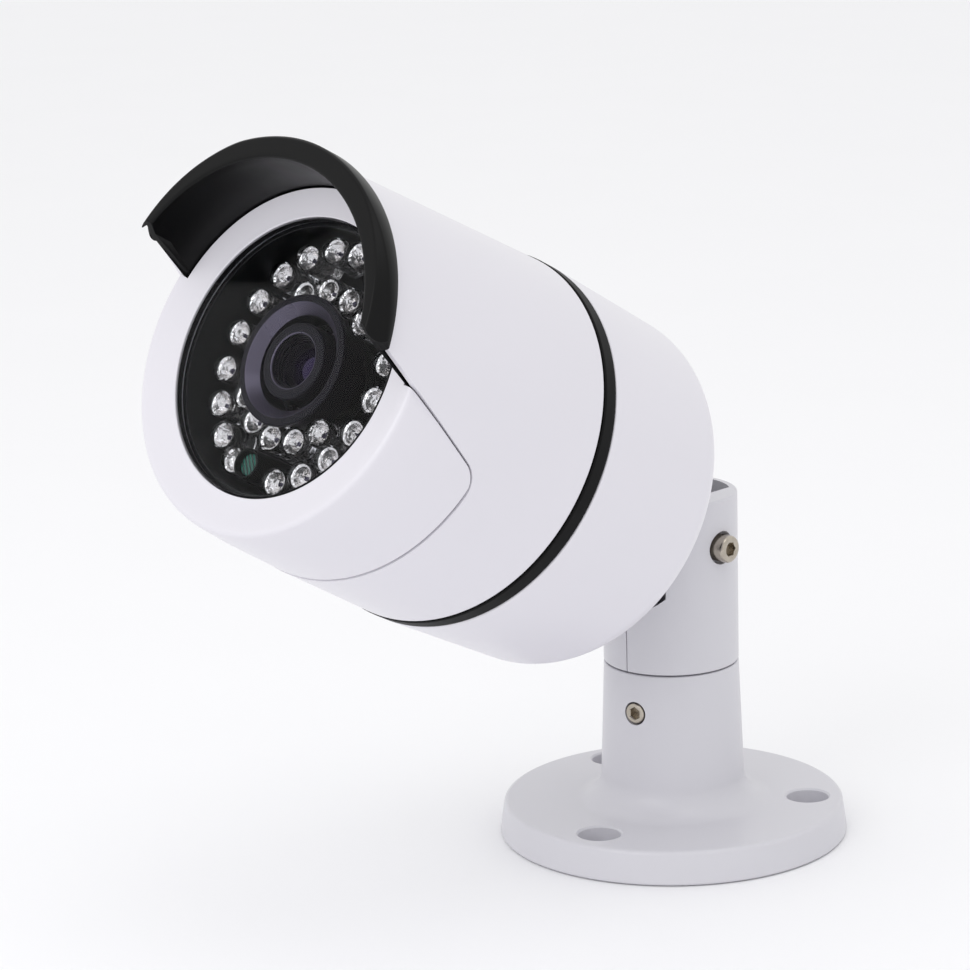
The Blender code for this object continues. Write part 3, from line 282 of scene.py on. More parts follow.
def nickel_plate():
    """Bright nickel on turned steel, warmed by handling, with fine tool marks."""
    return grained("nickel_plated_turned_steel", list(colours().plating), 0.22, 0.35, 0.008, metallic=1.0,
                   mottle=0.18, mottle_size=1.6, rough_change=0.08, stretch=(1, 1, 2.5))


def anodised_ring():
    """Black anodised aluminium, turned: dyed purple-black. The sheen on its bevels is painted, by a lighter
    material of their own.
    """
    return grained("black_anodised_turned_aluminium", list(colours().lens_ring), 0.36, 0.3, 0.001,
                   mottle=0.12, mottle_size=3.0, rough_change=0.05, Specular_IOR_Level=0.15)


def bevel_painted_sheen():
    """Fine-turned bevel of the same ring, given a lighter lilac-grey metal: a painted sheen against the dark
    ring round it.
    """
    return grained("anodised_bevel_painted_sheen", linear("5C5666"), 0.3, 0.3, 0.001, metallic=0.7,
                   mottle=0.04, mottle_size=12.0)


def cast_brass():
    """Drawn brass bar for the posts: warm, with lengthwise die lines."""
    return grained("drawn_brass", linear("C8A654"), 0.3, 0.3, 0.006, metallic=1.0, mottle=0.12,
                   mottle_size=2.0, stretch=(1, 1, 0.2))


def copper_coil():
    """Enamelled copper wire wound in a coil: fine ribs across the winding."""
    made, tree, shader, place = start("wound_enamelled_copper")
    mapping = add(tree, "Mapping", {"Rotation": (0.5, 0.2, 0.1)}, {"Vector": (place, "Object")})
    wires = add(tree, "TexWave", {"Scale": per_mm(0.25) / FULL, "Distortion": 0.4},
                {"Vector": (mapping, "Vector")})
    tone = ramp(tree, wires, "Color", [(0.2, linear("5C2A12")), (0.8, linear("B8652F"))])
    bump = add(tree, "Bump", {"Strength": 0.8, "Distance": 0.05 * MM}, {"Height": (wires, "Fac")})
    tree.links.new(tone.outputs["Color"], shader.inputs["Base Color"])
    tree.links.new(bump.outputs["Normal"], shader.inputs["Normal"])
    shader.inputs["Metallic"].default_value = 0.8
    shader.inputs["Roughness"].default_value = 0.3
    return made


def circuit_board(name, mask, track):
    """Glass-epoxy circuit board under solder mask: tracks show through as slightly lighter lines."""
    made, tree, shader, place = start(name)
    cells = add(tree, "TexVoronoi", {"Scale": per_mm(2.4)}, {"Vector": (place, "Object")},
                feature="F1", distance="CHEBYCHEV")
    lines = add(tree, "Math", {1: 0.45}, {0: (cells, "Distance")}, operation="GREATER_THAN")
    tone = ramp(tree, lines, "Value", [(0.0, linear(mask)), (1.0, linear(track))])
    bump = add(tree, "Bump", {"Strength": 0.5, "Distance": 0.035 * MM}, {"Height": (lines, "Value")})
    tree.links.new(tone.outputs["Color"], shader.inputs["Base Color"])
    tree.links.new(bump.outputs["Normal"], shader.inputs["Normal"])
    shader.inputs["Roughness"].default_value = 0.4
    shader.inputs["Specular IOR Level"].default_value = 0.12
    return made


def clear_epoxy():
    """Cast water-clear epoxy of an infrared light: it bends what is behind it and mirrors the room."""
    made, tree, shader, place = start("cast_clear_epoxy")
    shader.inputs["Base Color"].default_value = opaque(linear("F4F3F6"))
    shader.inputs["Transmission Weight"].default_value = 1.0
    shader.inputs["IOR"].default_value = 1.5
    swirl = add(tree, "TexNoise", {"Scale": per_mm(1.4), "Detail": 1.0}, {"Vector": (place, "Object")})
    rough = add(tree, "MapRange", {"To Min": 0.0, "To Max": 0.06}, {"Value": (swirl, "Fac")})
    bump = add(tree, "Bump", {"Strength": 0.6, "Distance": 0.03 * MM}, {"Height": (swirl, "Fac")})
    tree.links.new(rough.outputs["Result"], shader.inputs["Roughness"])
    tree.links.new(bump.outputs["Normal"], shader.inputs["Normal"])
    return made


def silvered_lead():
    """Silver-plated stamped lead frame: bright, dented by the stamp so it sparkles, slightly tarnished."""
    return grained("silver_plated_lead_frame", linear("F6F3F1"), 0.2, 0.75, 0.3, metallic=1.0,
                   mottle=0.1, mottle_size=1.2, rough_change=0.1)


def light_chip():
    """Gallium arsenide chip: a dark violet-grey crystal with a bright bond pad."""
    return grained("sawn_gallium_arsenide", linear("4A4658"), 0.25, 0.1, 0.002, metallic=0.5, mottle=0.3,
                   mottle_size=0.4)


def window_pane():
    """Float glass with an anti-reflection coat: clear straight on, a mirror only at a steep slant."""
    made, tree, shader, place = start("coated_float_glass")
    tree.nodes.remove(shader)
    smear = add(tree, "TexNoise", {"Scale": per_mm(12.0), "Detail": 2.0}, {"Vector": (place, "Object")})
    rough = add(tree, "MapRange", {"To Min": 0.01, "To Max": 0.04}, {"Value": (smear, "Fac")})
    mirror = add(tree, "BsdfGlossy", {"Color": opaque(linear("FFFFFF"))}, {"Roughness": (rough, "Result")})
    clear = add(tree, "BsdfTransparent", {"Color": opaque(linear("FAFBFC"))})
    facing = add(tree, "LayerWeight", {"Blend": 0.5})
    steep = add(tree, "Math", {1: 5.0}, {0: (facing, "Facing")}, operation="POWER")
    edge = add(tree, "MapRange", {"To Min": 0.005, "To Max": 1.0}, {"Value": (steep, "Value")})
    mix = add(tree, "MixShader", links={"Fac": (edge, "Result"), 1: (clear, "BSDF"), 2: (mirror, "BSDF")})
    tree.links.new(mix.outputs["Shader"], tree.nodes["Material Output"].inputs["Surface"])
    return made


def coated_lens():
    """Ground and coated lens glass: black depth with a violet tint of the coat; its lightening to magenta
    towards the rim is a painted reflection.
    """
    made, tree, shader, place = start("coated_ground_glass")
    # Base colour lighter where the glass is seen at a slant: a painted reflection of the coat, over its own
    # violet tint.
    facing = add(tree, "LayerWeight", {"Blend": 0.35})
    tone = ramp(tree, facing, "Facing", [(0.0, linear("05040A")), (0.55, linear("140B22")),
                                         (1.0, linear("3A2348"))])
    dust = add(tree, "TexNoise", {"Scale": per_mm(2.0), "Detail": 2.0}, {"Vector": (place, "Object")})
    rough = add(tree, "MapRange", {"To Min": 0.02, "To Max": 0.07}, {"Value": (dust, "Fac")})
    tree.links.new(tone.outputs["Color"], shader.inputs["Base Color"])
    tree.links.new(rough.outputs["Result"], shader.inputs["Roughness"])
    shader.inputs["IOR"].default_value = 1.7
    shader.inputs["Specular Tint"].default_value = opaque(linear("A98BE0"))
    return made


def sensor_face():
    """Cadmium sulphide light cell: a green ceramic disc with a dark serpentine track under lacquer."""
    made, tree, shader, place = start("printed_light_cell")
    centre = BODY @ Vector((0, measure_middle("photocell")[1], measure_middle("photocell")[2]))
    turn = BODY.to_quaternion().inverted().to_euler()
    moved = add(tree, "Mapping", {"Location": -centre}, {"Vector": (place, "Object")})
    turned = add(tree, "Mapping", {"Rotation": turn}, {"Vector": (moved, "Vector")})
    track = add(tree, "TexWave", {"Scale": per_mm(0.85) / 2, "Distortion": 0.5, "Detail": 1.0},
                {"Vector": (turned, "Vector")}, bands_direction="DIAGONAL")
    tone = ramp(tree, track, "Color", [(0.35, linear("062A24")), (0.65, linear("10574A"))])
    tree.links.new(tone.outputs["Color"], shader.inputs["Base Color"])
    shader.inputs["Roughness"].default_value = 0.25
    return made


def moulded_connector():
    """Natural nylon connector housing: cream, a little waxy."""
    return grained("moulded_natural_nylon", linear("E6DFCB"), 0.45, 0.5, 0.01, IOR=1.53,
                   Subsurface_Weight=0.15)


def image_chip():
    """Image sensor under its cover glass: dark, with the faint colours of its filter mosaic."""
    made, tree, shader, place = start("image_sensor_under_glass")
    mosaic = add(tree, "TexVoronoi", {"Scale": per_mm(0.5)}, {"Vector": (place, "Object")})
    tone = ramp(tree, mosaic, "Color", [(0.2, linear("12201C")), (0.5, linear("1B1430")),
                                        (0.8, linear("10181F"))])
    tree.links.new(tone.outputs["Color"], shader.inputs["Base Color"])
    shader.inputs["Roughness"].default_value = 0.1
    shader.inputs["IOR"].default_value = 1.6
    return made


def studio_floor():
    """Seamless paper: pale, matt, with a soft fibre mottle."""
    return grained("seamless_paper", list(colours().floor), 0.8, 1.2, 0.02, mottle=0.006,
                   mottle_size=60.0, rough_change=0.05)


MATERIAL_MAKERS = {
    "shell": lambda: powder_coat("powder_coated_shell", list(colours().shell), 0.3),
    "bracket": lambda: powder_coat("powder_coated_bracket", list(colours().bracket), 0.4),
    "visor": moulded_abs, "nylon": moulded_nylon, "shroud": shroud_plastic, "rubber": moulded_rubber,
    # bevel: a lighter metal on the lens rings' bevels, a painted sheen
    "nickel": nickel_plate, "anodised": anodised_ring, "bevel": bevel_painted_sheen, "brass": cast_brass,
    "coil": copper_coil,
    "black_board": lambda: circuit_board("black_mask_circuit_board", "050506", "0A0A0E"),
    "green_board": lambda: circuit_board("green_mask_circuit_board", "0E4526", "1C6B3B"),
    "epoxy": clear_epoxy, "lead": silvered_lead, "chip": light_chip, "pane": window_pane,
    "lens": coated_lens, "cell": sensor_face, "connector": moulded_connector, "sensor": image_chip,
    "floor": studio_floor,
}
MATERIALS = {}


def material(key):
    """A finish by its short name, made once."""
    if key not in MATERIALS:
        MATERIALS[key] = MATERIAL_MAKERS[key]()
    return MATERIALS[key]


# ---- mesh helpers ------------------------------------------------------------------------------------
def measure_middle(node):
    """Centre of a node in the body's frame, in millimetres."""
    back = BODY.inverted()
    points = [back @ v.co for v in frame["nodes"][node].data.vertices]
    return [(min(p[i] for p in points) + max(p[i] for p in points)) / 2 for i in range(3)]


def rounded(points, steps=6):
    """A closed outline of (across, along) points, where a third number rounds that corner."""
    made = []
    for number, point in enumerate(points):
        corner = Vector(point[:2])
        if len(point) == 2:
            made.append(corner)
            continue
        before = Vector(points[number - 1][:2]) - corner
        after = Vector(points[(number + 1) % len(points)][:2]) - corner
        half = before.angle(after) / 2
        reach = min(point[2] / math.tan(half), 0.48 * before.length, 0.48 * after.length)
        before.normalize()
        after.normalize()
        centre = corner + (before + after).normalized() * (reach / math.cos(half))
        first, last = corner + before * reach - centre, corner + after * reach - centre
        sweep = first.angle(last)
        if first.x * last.y - first.y * last.x < 0:
            sweep = -sweep
        made.append(corner + before * (reach + SUPPORT))
        for step in range(steps + 1):
            made.append(centre + Matrix.Rotation(sweep * step / steps, 2) @ first)
        made.append(corner + after * (reach + SUPPORT))
    return [tuple(p) for p in made]


def arc(centre, radius, first, last, steps):
    """Points on an arc, angles in degrees."""
    angles = [math.radians(first + (last - first) * step / steps) for step in range(steps + 1)]
    return [(centre[0] + radius * math.cos(a), centre[1] + radius * math.sin(a)) for a in angles]


def turned(outline, sides=ROUND, spot=(0, 0), bm=None, closed=True):
    """An outline of (radius, station) points turned about an axis along local Z."""
    bm = bm or bmesh.new()
    known = set(bm.faces)
    verts = [bm.verts.new((spot[0] + radius, spot[1], station)) for radius, station in outline]
    edges = [bm.edges.new(pair) for pair in zip(verts, verts[1:])]
    if closed:
        edges.append(bm.edges.new((verts[-1], verts[0])))
    bmesh.ops.spin(bm, geom=verts + edges, cent=(*spot, 0), axis=(0, 0, 1), angle=FULL, steps=sides,
                   use_merge=True)
    bmesh.ops.remove_doubles(bm, verts=bm.verts, dist=0.0005)
    bmesh.ops.recalc_face_normals(bm, faces=[f for f in bm.faces if f not in known])
    return bm


def prism(outline, start, end, place=None):
    """An outline in local X and Y pulled along local Z."""
    bm = bmesh.new()
    face = bm.faces.new([bm.verts.new((x, y, start)) for x, y in outline])
    pulled = bmesh.ops.extrude_face_region(bm, geom=[face])["geom"]
    bmesh.ops.translate(bm, verts=[v for v in pulled if isinstance(v, bmesh.types.BMVert)],
                        vec=(0, 0, end - start))
    bmesh.ops.recalc_face_normals(bm, faces=bm.faces)
    return moved(bm, place)


def block(low, high, place=None):
    """A box between two corners."""
    bm = bmesh.new()
    bmesh.ops.create_cube(bm, size=1.0)
    bmesh.ops.scale(bm, verts=bm.verts, vec=[h - l for l, h in zip(low, high)])
    bmesh.ops.translate(bm, verts=bm.verts, vec=[(l + h) / 2 for l, h in zip(low, high)])
    return moved(bm, place)


def rod(radius, start, end, sides=SMALL, place=None, end_radius=None):
    """A cylinder or cone along local Z."""
    bm = bmesh.new()
    bmesh.ops.create_cone(bm, cap_ends=True, segments=sides, radius1=radius,
                          radius2=radius if end_radius is None else end_radius, depth=end - start)
    bmesh.ops.translate(bm, verts=bm.verts, vec=(0, 0, (start + end) / 2))
    return moved(bm, place)


def hex_rod(flats, start, end, place=None):
    return rod(flats / 2 / math.cos(math.pi / 6), start, end, 6, place)


def moved(bm, place):
    if place is not None:
        bmesh.ops.transform(bm, matrix=place, verts=bm.verts)
    return bm


def temporary(bm):
    mesh = bpy.data.meshes.new("temporary")
    bm.to_mesh(mesh)
    bm.free()
    obj = bpy.data.objects.new("temporary", mesh)
    bpy.context.scene.collection.objects.link(obj)
    return obj


def carved(bm, *cutters, operation="DIFFERENCE"):
    """The mesh with each cutter taken away, or joined or kept in common with it."""
    piece_now = temporary(bm)
    others = [temporary(cutter) for cutter in cutters]
    for other in others:
        boolean = piece_now.modifiers.new("Cut", "BOOLEAN")
        boolean.operation = operation
        boolean.object = other
    mesh = bpy.data.meshes.new_from_object(piece_now.evaluated_get(bpy.context.evaluated_depsgraph_get()))
    made = bmesh.new()
    made.from_mesh(mesh)
    bpy.data.meshes.remove(mesh)
    for obj in (piece_now, *others):
        bpy.data.meshes.remove(obj.data)
    bmesh.ops.remove_doubles(made, verts=made.verts, dist=0.0005)
    return made


def loft(sections):
    """Closed sections joined by bridges and capped at both ends."""
    bm = bmesh.new()
    loops = []
    for section in sections:
        verts = [bm.verts.new(point) for point in section]
        loops.append([bm.edges.new((a, b)) for a, b in zip(verts, verts[1:] + verts[:1])])
    for near, far in zip(loops, loops[1:]):
        bmesh.ops.bridge_loops(bm, edges=near + far)
    for loop in (loops[0], loops[-1]):
        bmesh.ops.contextual_create(bm, geom=loop)
    bmesh.ops.recalc_face_normals(bm, faces=bm.faces)
    return bm


def piece(name, bm, place, keys, body, nodes=(), sharp=38.0):
    """Finishes a piece: its place, materials and shading, the body it rides on and what it stands for."""
    bmesh.ops.transform(bm, matrix=place, verts=bm.verts)
    mesh = bpy.data.meshes.new(name)
    bm.to_mesh(mesh)
    bm.free()
    mesh.shade_smooth()
    mesh.set_sharp_from_angle(angle=math.radians(sharp))
    for key in keys.split():
        mesh.materials.append(material(key))
    obj = bpy.data.objects.new(name, mesh)
    bpy.context.scene.collection.objects.link(obj)
    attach(obj, body)
    if nodes:
        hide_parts(*nodes)
    return obj


def carry_over(key, *nodes):
    """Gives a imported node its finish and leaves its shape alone."""
    for node in nodes:
        mesh = frame["nodes"][node].data
        mesh.materials.clear()
        mesh.materials.append(material(key))


class MakesPart:
    """What every operator here shares: build() makes the pieces, and an error stops the script."""
    bl_options = {"REGISTER"}

    def execute(self, context):
        self.build()
        return {"FINISHED"}


# ---- bracket -----------------------------------------------------------------------------------------
FLANGE_THICK = 6.5
RIM_DRAFT = 0.9
STEM_RADIUS = 13.1
STEM_FOOT = 13.95
STEM_FILLET = 5.5
SPIGOT_BORE = 8.0
FIXING_CIRCLE = 26.3
FIXING_BORE = 2.3
FIXING_HEAD = 4.1
FIXING_FLOOR = 3.2
RELIEF_RADIUS = 18.0
RELIEF_DEPTH = 2.5
CABLE_BORE = 5.0
SET_SCREW_RADIUS = 2.0
SET_SCREW_SOCKET = 2.0
HOLE_CHAMFER = 0.35


class MakeBase(MakesPart, bpy.types.Operator):
    """Round flange with its stem and three counterbored fixing holes"""
    bl_idname = "bullet_camera.base"
    bl_label = "Bracket base"

    def build(self):
        top = FLANGE_STEM_TOP
        rim = FLANGE_RADIUS - RIM_DRAFT
        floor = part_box("head_half_right")[0].z / MM - 0.6
        fillet = arc((STEM_FOOT + STEM_FILLET, FLANGE_THICK + STEM_FILLET), STEM_FILLET, 180, 270, 14)
        underside = [(RELIEF_RADIUS, 0.0, 0.3), (RELIEF_RADIUS, RELIEF_DEPTH), (CABLE_BORE, RELIEF_DEPTH),
                     (CABLE_BORE, floor), (SPIGOT_BORE, floor)]
        outline = rounded([(SPIGOT_BORE, top), (STEM_RADIUS, top, 0.3)] + fillet
                          + [(rim, FLANGE_THICK, 0.9), (FLANGE_RADIUS, 0.0, 0.45)] + underside)
        cutters = []
        mouth = FIXING_HEAD + HOLE_CHAMFER + 1
        for number in range(3):
            angle = FULL * number / 3
            spot = (FIXING_CIRCLE * math.sin(angle), -FIXING_CIRCLE * math.cos(angle))
            seat = [(0.0, BIG), (mouth, BIG), (mouth, FLANGE_THICK + 1),
                    (FIXING_HEAD, FLANGE_THICK - HOLE_CHAMFER), (FIXING_HEAD, FIXING_FLOOR),
                    (FIXING_BORE, FIXING_FLOOR), (FIXING_BORE, -BIG), (0.0, -BIG)]
            cutters.append(turned(seat, 64, spot, closed=False))
        height = SET_SCREW_MIDDLE.z / MM
        cutters.append(rod(SET_SCREW_RADIUS + 0.3, STEM_RADIUS / 2, BIG,
                           place=Matrix.Translation((0, 0, height)) @ ALONG_MINUS_Y))
        piece("bracket_base", carved(turned(outline), *cutters), BASE, "bracket", "base", ["base_flange"])

        face = math.hypot(SET_SCREW_LOW.x, SET_SCREW_LOW.y) / MM
        deepest = min(-v.co.y for v in frame["nodes"]["pan_set_screw"].data.vertices) / MM
        outline = rounded([(0.0, face), (SET_SCREW_RADIUS, face, 0.35), (SET_SCREW_RADIUS, deepest, 0.4),
                           (0.0, deepest)])
        screw = turned(outline, SMALL, closed=False)
        entry = rod(1.0, face - 0.35, face + 0.5, 6, end_radius=1.85)
        screw = carved(screw, hex_rod(SET_SCREW_SOCKET, face - 2.2, face + 1), entry)
        piece("bracket_set_screw", screw, BASE @ Matrix.Translation((0, 0, height)) @ ALONG_MINUS_Y,
              "nickel", "base", ["pan_set_screw"])


SLOT_HALF = 7.8
SLOT_FLOOR_RADIUS = 10.8
SLOT_FLOOR_DROP = 1.3
HEAD_INNER = 11.7
SCREW_SHANK = 1.4
SCREW_HEAD = 2.65
SCREW_HEAD_BACK = 11.3
SCREW_HEAD_FRONT = 15.4
SCREW_SOCKET = 2.5
NUT_FLATS = 5.5
SHANK_ROOM = 0.3                     # round the screw's shank
POCKET_ROOM = 0.6                    # round the screw's head and across the nut's flats
SEAM_SETBACK = 0.12                  # how far each half stops short of the plane between them


class MakeHead(MakesPart, bpy.types.Operator):
    """Two halves of the bracket head, with the slot that the neck tilts in"""
    bl_idname = "bullet_camera.head"
    bl_label = "Bracket head"

    def build(self):
        pivot = joint("tilt")["pos_m"][2] / MM
        seam = FLANGE_STEM_TOP + 0.3
        outline = [(CABLE_BORE, HEAD_TOP), (HEAD_RADIUS, HEAD_TOP, 0.45), (HEAD_RADIUS, seam, 0.3),
                   (SPIGOT_BORE - 0.3, seam), (SPIGOT_BORE - 0.3, HEAD_BOTTOM, 0.4),
                   (CABLE_BORE, HEAD_BOTTOM)]
        side = math.degrees(math.acos(SLOT_HALF / HEAD_INNER))
        plan = [(-SLOT_HALF, -BIG), (SLOT_HALF, -BIG)] + arc((0, 0), HEAD_INNER, side, 180 - side, 32)
        front = [(SLOT_FLOOR_RADIUS, BIG), (-SLOT_FLOOR_RADIUS, BIG)]
        front += arc((0, pivot - SLOT_FLOOR_DROP), SLOT_FLOOR_RADIUS, 180, 360, 48)
        at_pivot = Matrix.Translation((0, 0, pivot))
        for name, sign, seat in (("right", 1, "screw"), ("left", -1, "nut")):
            room = carved(prism(plan, 0, BIG), prism(front, -BIG, BIG, ALONG_MINUS_Y),
                          operation="INTERSECT")
            shank = rod(SCREW_SHANK + SHANK_ROOM, -BIG, BIG, place=at_pivot @ ALONG_X)
            if seat == "screw":
                pocket = rod(SCREW_HEAD + POCKET_ROOM, SCREW_HEAD_BACK - 0.3, BIG, place=at_pivot @ ALONG_X)
            else:
                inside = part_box("tilt_nut")[1].x / MM + 0.3
                pocket = hex_rod(NUT_FLATS + POCKET_ROOM, -BIG, inside, at_pivot @ ALONG_X)
            if sign > 0:
                other = block((-BIG, -BIG, -BIG), (SEAM_SETBACK, BIG, BIG))
            else:
                other = block((-SEAM_SETBACK, -BIG, -BIG), (BIG, BIG, BIG))
            half = carved(turned(rounded(outline)), room, shank, pocket, other)
            piece(f"bracket_head_{name}", half, WORLD, "bracket", "head", [f"head_half_{name}"])


class MakeTiltScrew(MakesPart, bpy.types.Operator):
    """Socket screw and nut that clamp the tilt joint"""
    bl_idname = "bullet_camera.tilt_screw"
    bl_label = "Tilt screw and nut"

    def build(self):
        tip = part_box("tilt_screw")[0].x / MM
        outline = rounded([(0.0, SCREW_HEAD_FRONT), (SCREW_HEAD, SCREW_HEAD_FRONT, 0.75),
                           (SCREW_HEAD, SCREW_HEAD_BACK, 0.15), (SCREW_SHANK, SCREW_HEAD_BACK),
                           (SCREW_SHANK, tip, 0.3), (0.0, tip)])
        screw = turned(outline, 64, closed=False)
        entry = rod(SCREW_SOCKET / 2, SCREW_HEAD_FRONT - 0.3, SCREW_HEAD_FRONT + 0.5, 48, end_radius=2.3)
        screw = carved(screw, hex_rod(SCREW_SOCKET, SCREW_HEAD_FRONT - 2.0, SCREW_HEAD_FRONT + 1), entry)
        piece("tilt_clamp_screw", screw, PIVOT @ ALONG_X, "nickel", "head", ["tilt_screw"])
        low, high = (corner.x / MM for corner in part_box("tilt_nut"))
        nut = carved(hex_rod(NUT_FLATS, low, high), rod(SCREW_SHANK + 0.05, -BIG, BIG))
        chamfer = rod(NUT_FLATS / 2 - 0.05, low - 0.01, low + 0.8, 64, end_radius=NUT_FLATS / 2 + 0.9)
        body = rod(NUT_FLATS, low + 0.75, high + 1, 64)
        shape = carved(chamfer, body, operation="UNION")
        nut = carved(nut, shape, operation="INTERSECT")
        piece("tilt_clamp_nut", nut, PIVOT @ ALONG_X, "nickel", "head", ["tilt_nut"])


# ---- neck --------------------------------------------------------------------------------------------
NECK_RADIUS = 6.9
THREAD_RADIUS = 7.8
THREAD_START = 14.5
THREAD_PITCH = 1.5
THREAD_DEPTH = 0.45
KNUCKLE_RADIUS = 8.6
KNUCKLE_HALF = 7.4
NECK_BORE = 4.6


class MakeNeck(MakesPart, bpy.types.Operator):
    """Tilt knuckle with its threaded neck, the cord grommet and the seal against the rear face"""
    bl_idname = "bullet_camera.neck"
    bl_label = "Neck"

    def build(self):
        crests = []
        station = THREAD_START + 1.0
        while station < THREAD_END - 1.2:
            crests += [(THREAD_RADIUS - THREAD_DEPTH, station), (THREAD_RADIUS, station + 0.45),
                       (THREAD_RADIUS, station + 0.75), (THREAD_RADIUS - THREAD_DEPTH, station + 1.2)]
            station += THREAD_PITCH
        outline = [(0.0, 0.0), (NECK_RADIUS, 0.0), (NECK_RADIUS, THREAD_START - 1.2)] + \
            arc((NECK_RADIUS + 0.9, THREAD_START - 1.2), 0.9, 180, 110, 5) + crests + \
            [(THREAD_RADIUS - 0.8, THREAD_END), (0.0, THREAD_END)]
        neck = turned(outline, 96, closed=False)
        edge = rounded([(0.0, -KNUCKLE_HALF), (KNUCKLE_RADIUS, -KNUCKLE_HALF, 0.6),
                        (KNUCKLE_RADIUS, KNUCKLE_HALF, 0.6), (0.0, KNUCKLE_HALF)])
        disc = moved(turned(edge, 96, closed=False), ALONG_X)
        neck = carved(neck, disc, operation="UNION")
        neck = carved(neck, rod(NECK_BORE, -BIG, BIG), rod(SCREW_SHANK + 0.3, -BIG, BIG, place=ALONG_X))
        piece("neck_knuckle", neck, NECK, "nylon", "neck", ["tilt_knuckle"])
        carry_over("rubber", "cable_grommet")

        low, high, bore, reach = measure("neck_seal", NECK)
        outline = rounded([(bore, low, 0.4), (bore, high, 0.4), (reach, high, 0.6), (reach, low, 0.6)])
        piece("neck_gasket", turned(outline, 96), BODY, "rubber", "camera", ["neck_seal"])


class MakeLockRing(MakesPart, bpy.types.Operator):
    """Fluted ring that locks the camera's turn on its neck"""
    bl_idname = "bullet_camera.lock_ring"
    bl_label = "Lock ring"

    def build(self):
        outline = rounded([(RING_BORE, RING_FRONT, 0.3), (RING_RADIUS, RING_FRONT, 0.6),
                           (RING_RADIUS, RING_BACK, 1.1), (RING_BORE, RING_BACK, 0.3)])
        flutes = []
        for number in range(12):
            angle = FULL * (number + 0.5) / 12
            centre = RING_RADIUS + 0.8
            spot = Matrix.Translation((centre * math.cos(angle), centre * math.sin(angle), 0))
            flutes.append(rod(1.6, RING_BACK - 2, RING_FRONT + 2, 32, spot))
        ring = carved(turned(outline), *flutes)
        piece("neck_lock_ring", ring, NECK, "nylon", "lock_ring", ["lock_ring"])


# ---- body shells -------------------------------------------------------------------------------------
KNEE_RADIUS = 34.15
KNEE_WIDTH = 9.05
KNEE_LENGTH = 7.3
SHELL_WALL = 2.4
HUB_RADIUS = 12.0
HUB_LENGTH = 8.1
RECESS_RADIUS = 11.5
RECESS_DEPTH = 1.5
HUB_BORE = 8.1
TONGUE_WALL = 1.4
SHELL_DRAFT = 0.036
CHIN_EDGE = 92.5
SEAM_ANGLE = math.radians(22.7)
SEAM_FRONT_HEIGHT = 8.9
SEAM_FILLET = 6.0


def knee(inset, steps):
    """Rounded corner from the rear face to the side, as (radius, station), side first."""
    angles = [QUARTER * step / steps for step in range(steps + 1)]
    return [(KNEE_RADIUS - inset - KNEE_WIDTH * (1 - math.cos(a)),
             REAR_FACE + inset + KNEE_LENGTH * (1 - math.sin(a))) for a in angles]


def shell_radius(station):
    return SHELL_RADIUS - SHELL_DRAFT * (station - SHELL_START)


def seam_height(station):
    """Height over the axis of the seam between the hood and the chin."""
    return SEAM_FRONT_HEIGHT + math.tan(SEAM_ANGLE) * (station - SHELL_FRONT)


def chin_region(inset):
    """The chin in the side view, as (height, station), shrunk by inset."""
    edge = CHIN_EDGE + inset
    drop = inset / math.cos(SEAM_ANGLE)
    turn = QUARTER - SEAM_ANGLE
    fillet = SEAM_FILLET - inset
    centre = (seam_height(edge) - drop - fillet * math.tan(turn / 2), edge + fillet)
    front = SHELL_FRONT + BIG
    return [(-BIG, edge)] + arc(centre, fillet, -90, -90 + math.degrees(turn), 20) + \
        [(seam_height(front) - drop, front), (-BIG, front)]


class MakeRearShell(MakesPart, bpy.types.Operator):
    """Rear cup of the body, with the threaded hub for the neck"""
    bl_idname = "bullet_camera.rear_shell"
    bl_label = "Rear shell"

    def build(self):
        tongue = BAND_BORE - 0.3
        bore = tongue - TONGUE_WALL
        end = BAND_START - 0.15
        edge = sizes().edge_round / MM
        outline = [(bore, TONGUE_END), (tongue, TONGUE_END, 0.3), (tongue, end), (BODY_RADIUS, end, edge)]
        outline += knee(0.0, 28)
        outline += [(RECESS_RADIUS, REAR_FACE, 0.3), (RECESS_RADIUS, REAR_FACE + RECESS_DEPTH),
                    (HUB_BORE, REAR_FACE + RECESS_DEPTH), (HUB_BORE, REAR_FACE + HUB_LENGTH),
                    (HUB_RADIUS, REAR_FACE + HUB_LENGTH), (HUB_RADIUS, REAR_FACE + SHELL_WALL)]
        outline += knee(SHELL_WALL, 10)[::-1] + [(KNEE_RADIUS - SHELL_WALL, end - 5), (bore, end - 2.4)]
        piece("body_rear_shell", turned(rounded(outline)), BODY, "shell", "camera", ["rear_shell"])

        low, high = BAND_START, BAND_END
        outline = rounded([(BAND_BORE, low), (BAND_BORE, high), (BODY_RADIUS - 0.05, high, 0.3),
                           (BODY_RADIUS - 0.05, low, 0.3)])
        piece("body_trim_band", turned(outline), BODY, "rubber", "camera", ["body_band"])


class MakeFrontShell(MakesPart, bpy.types.Operator):
    """Front tube of the body, cut away round the chin"""
    bl_idname = "bullet_camera.front_shell"
    bl_label = "Front shell"

    def build(self):
        edge = sizes().edge_round / MM
        step = CHIN_EDGE - 2.5
        outline = rounded([(HOOD_BORE, SHELL_FRONT), (shell_radius(SHELL_FRONT), SHELL_FRONT, edge),
                           (SHELL_RADIUS, SHELL_START, edge), (BAND_BORE, SHELL_START), (BAND_BORE, step),
                           (HOOD_BORE, step + 1.0)])
        tube = turned(outline)
        half_gap = sizes().seam_gap / MM / 2
        chin = prism(chin_region(half_gap - 0.15), -BIG, BIG, SIDE_VIEW)
        piece("body_front_shell", carved(tube, chin), BODY, "shell", "camera", ["front_shell"])


WINDOW_EDGE = 112.9
RIM_RADIUS = 32.1
BEZEL_WALL = 1.5


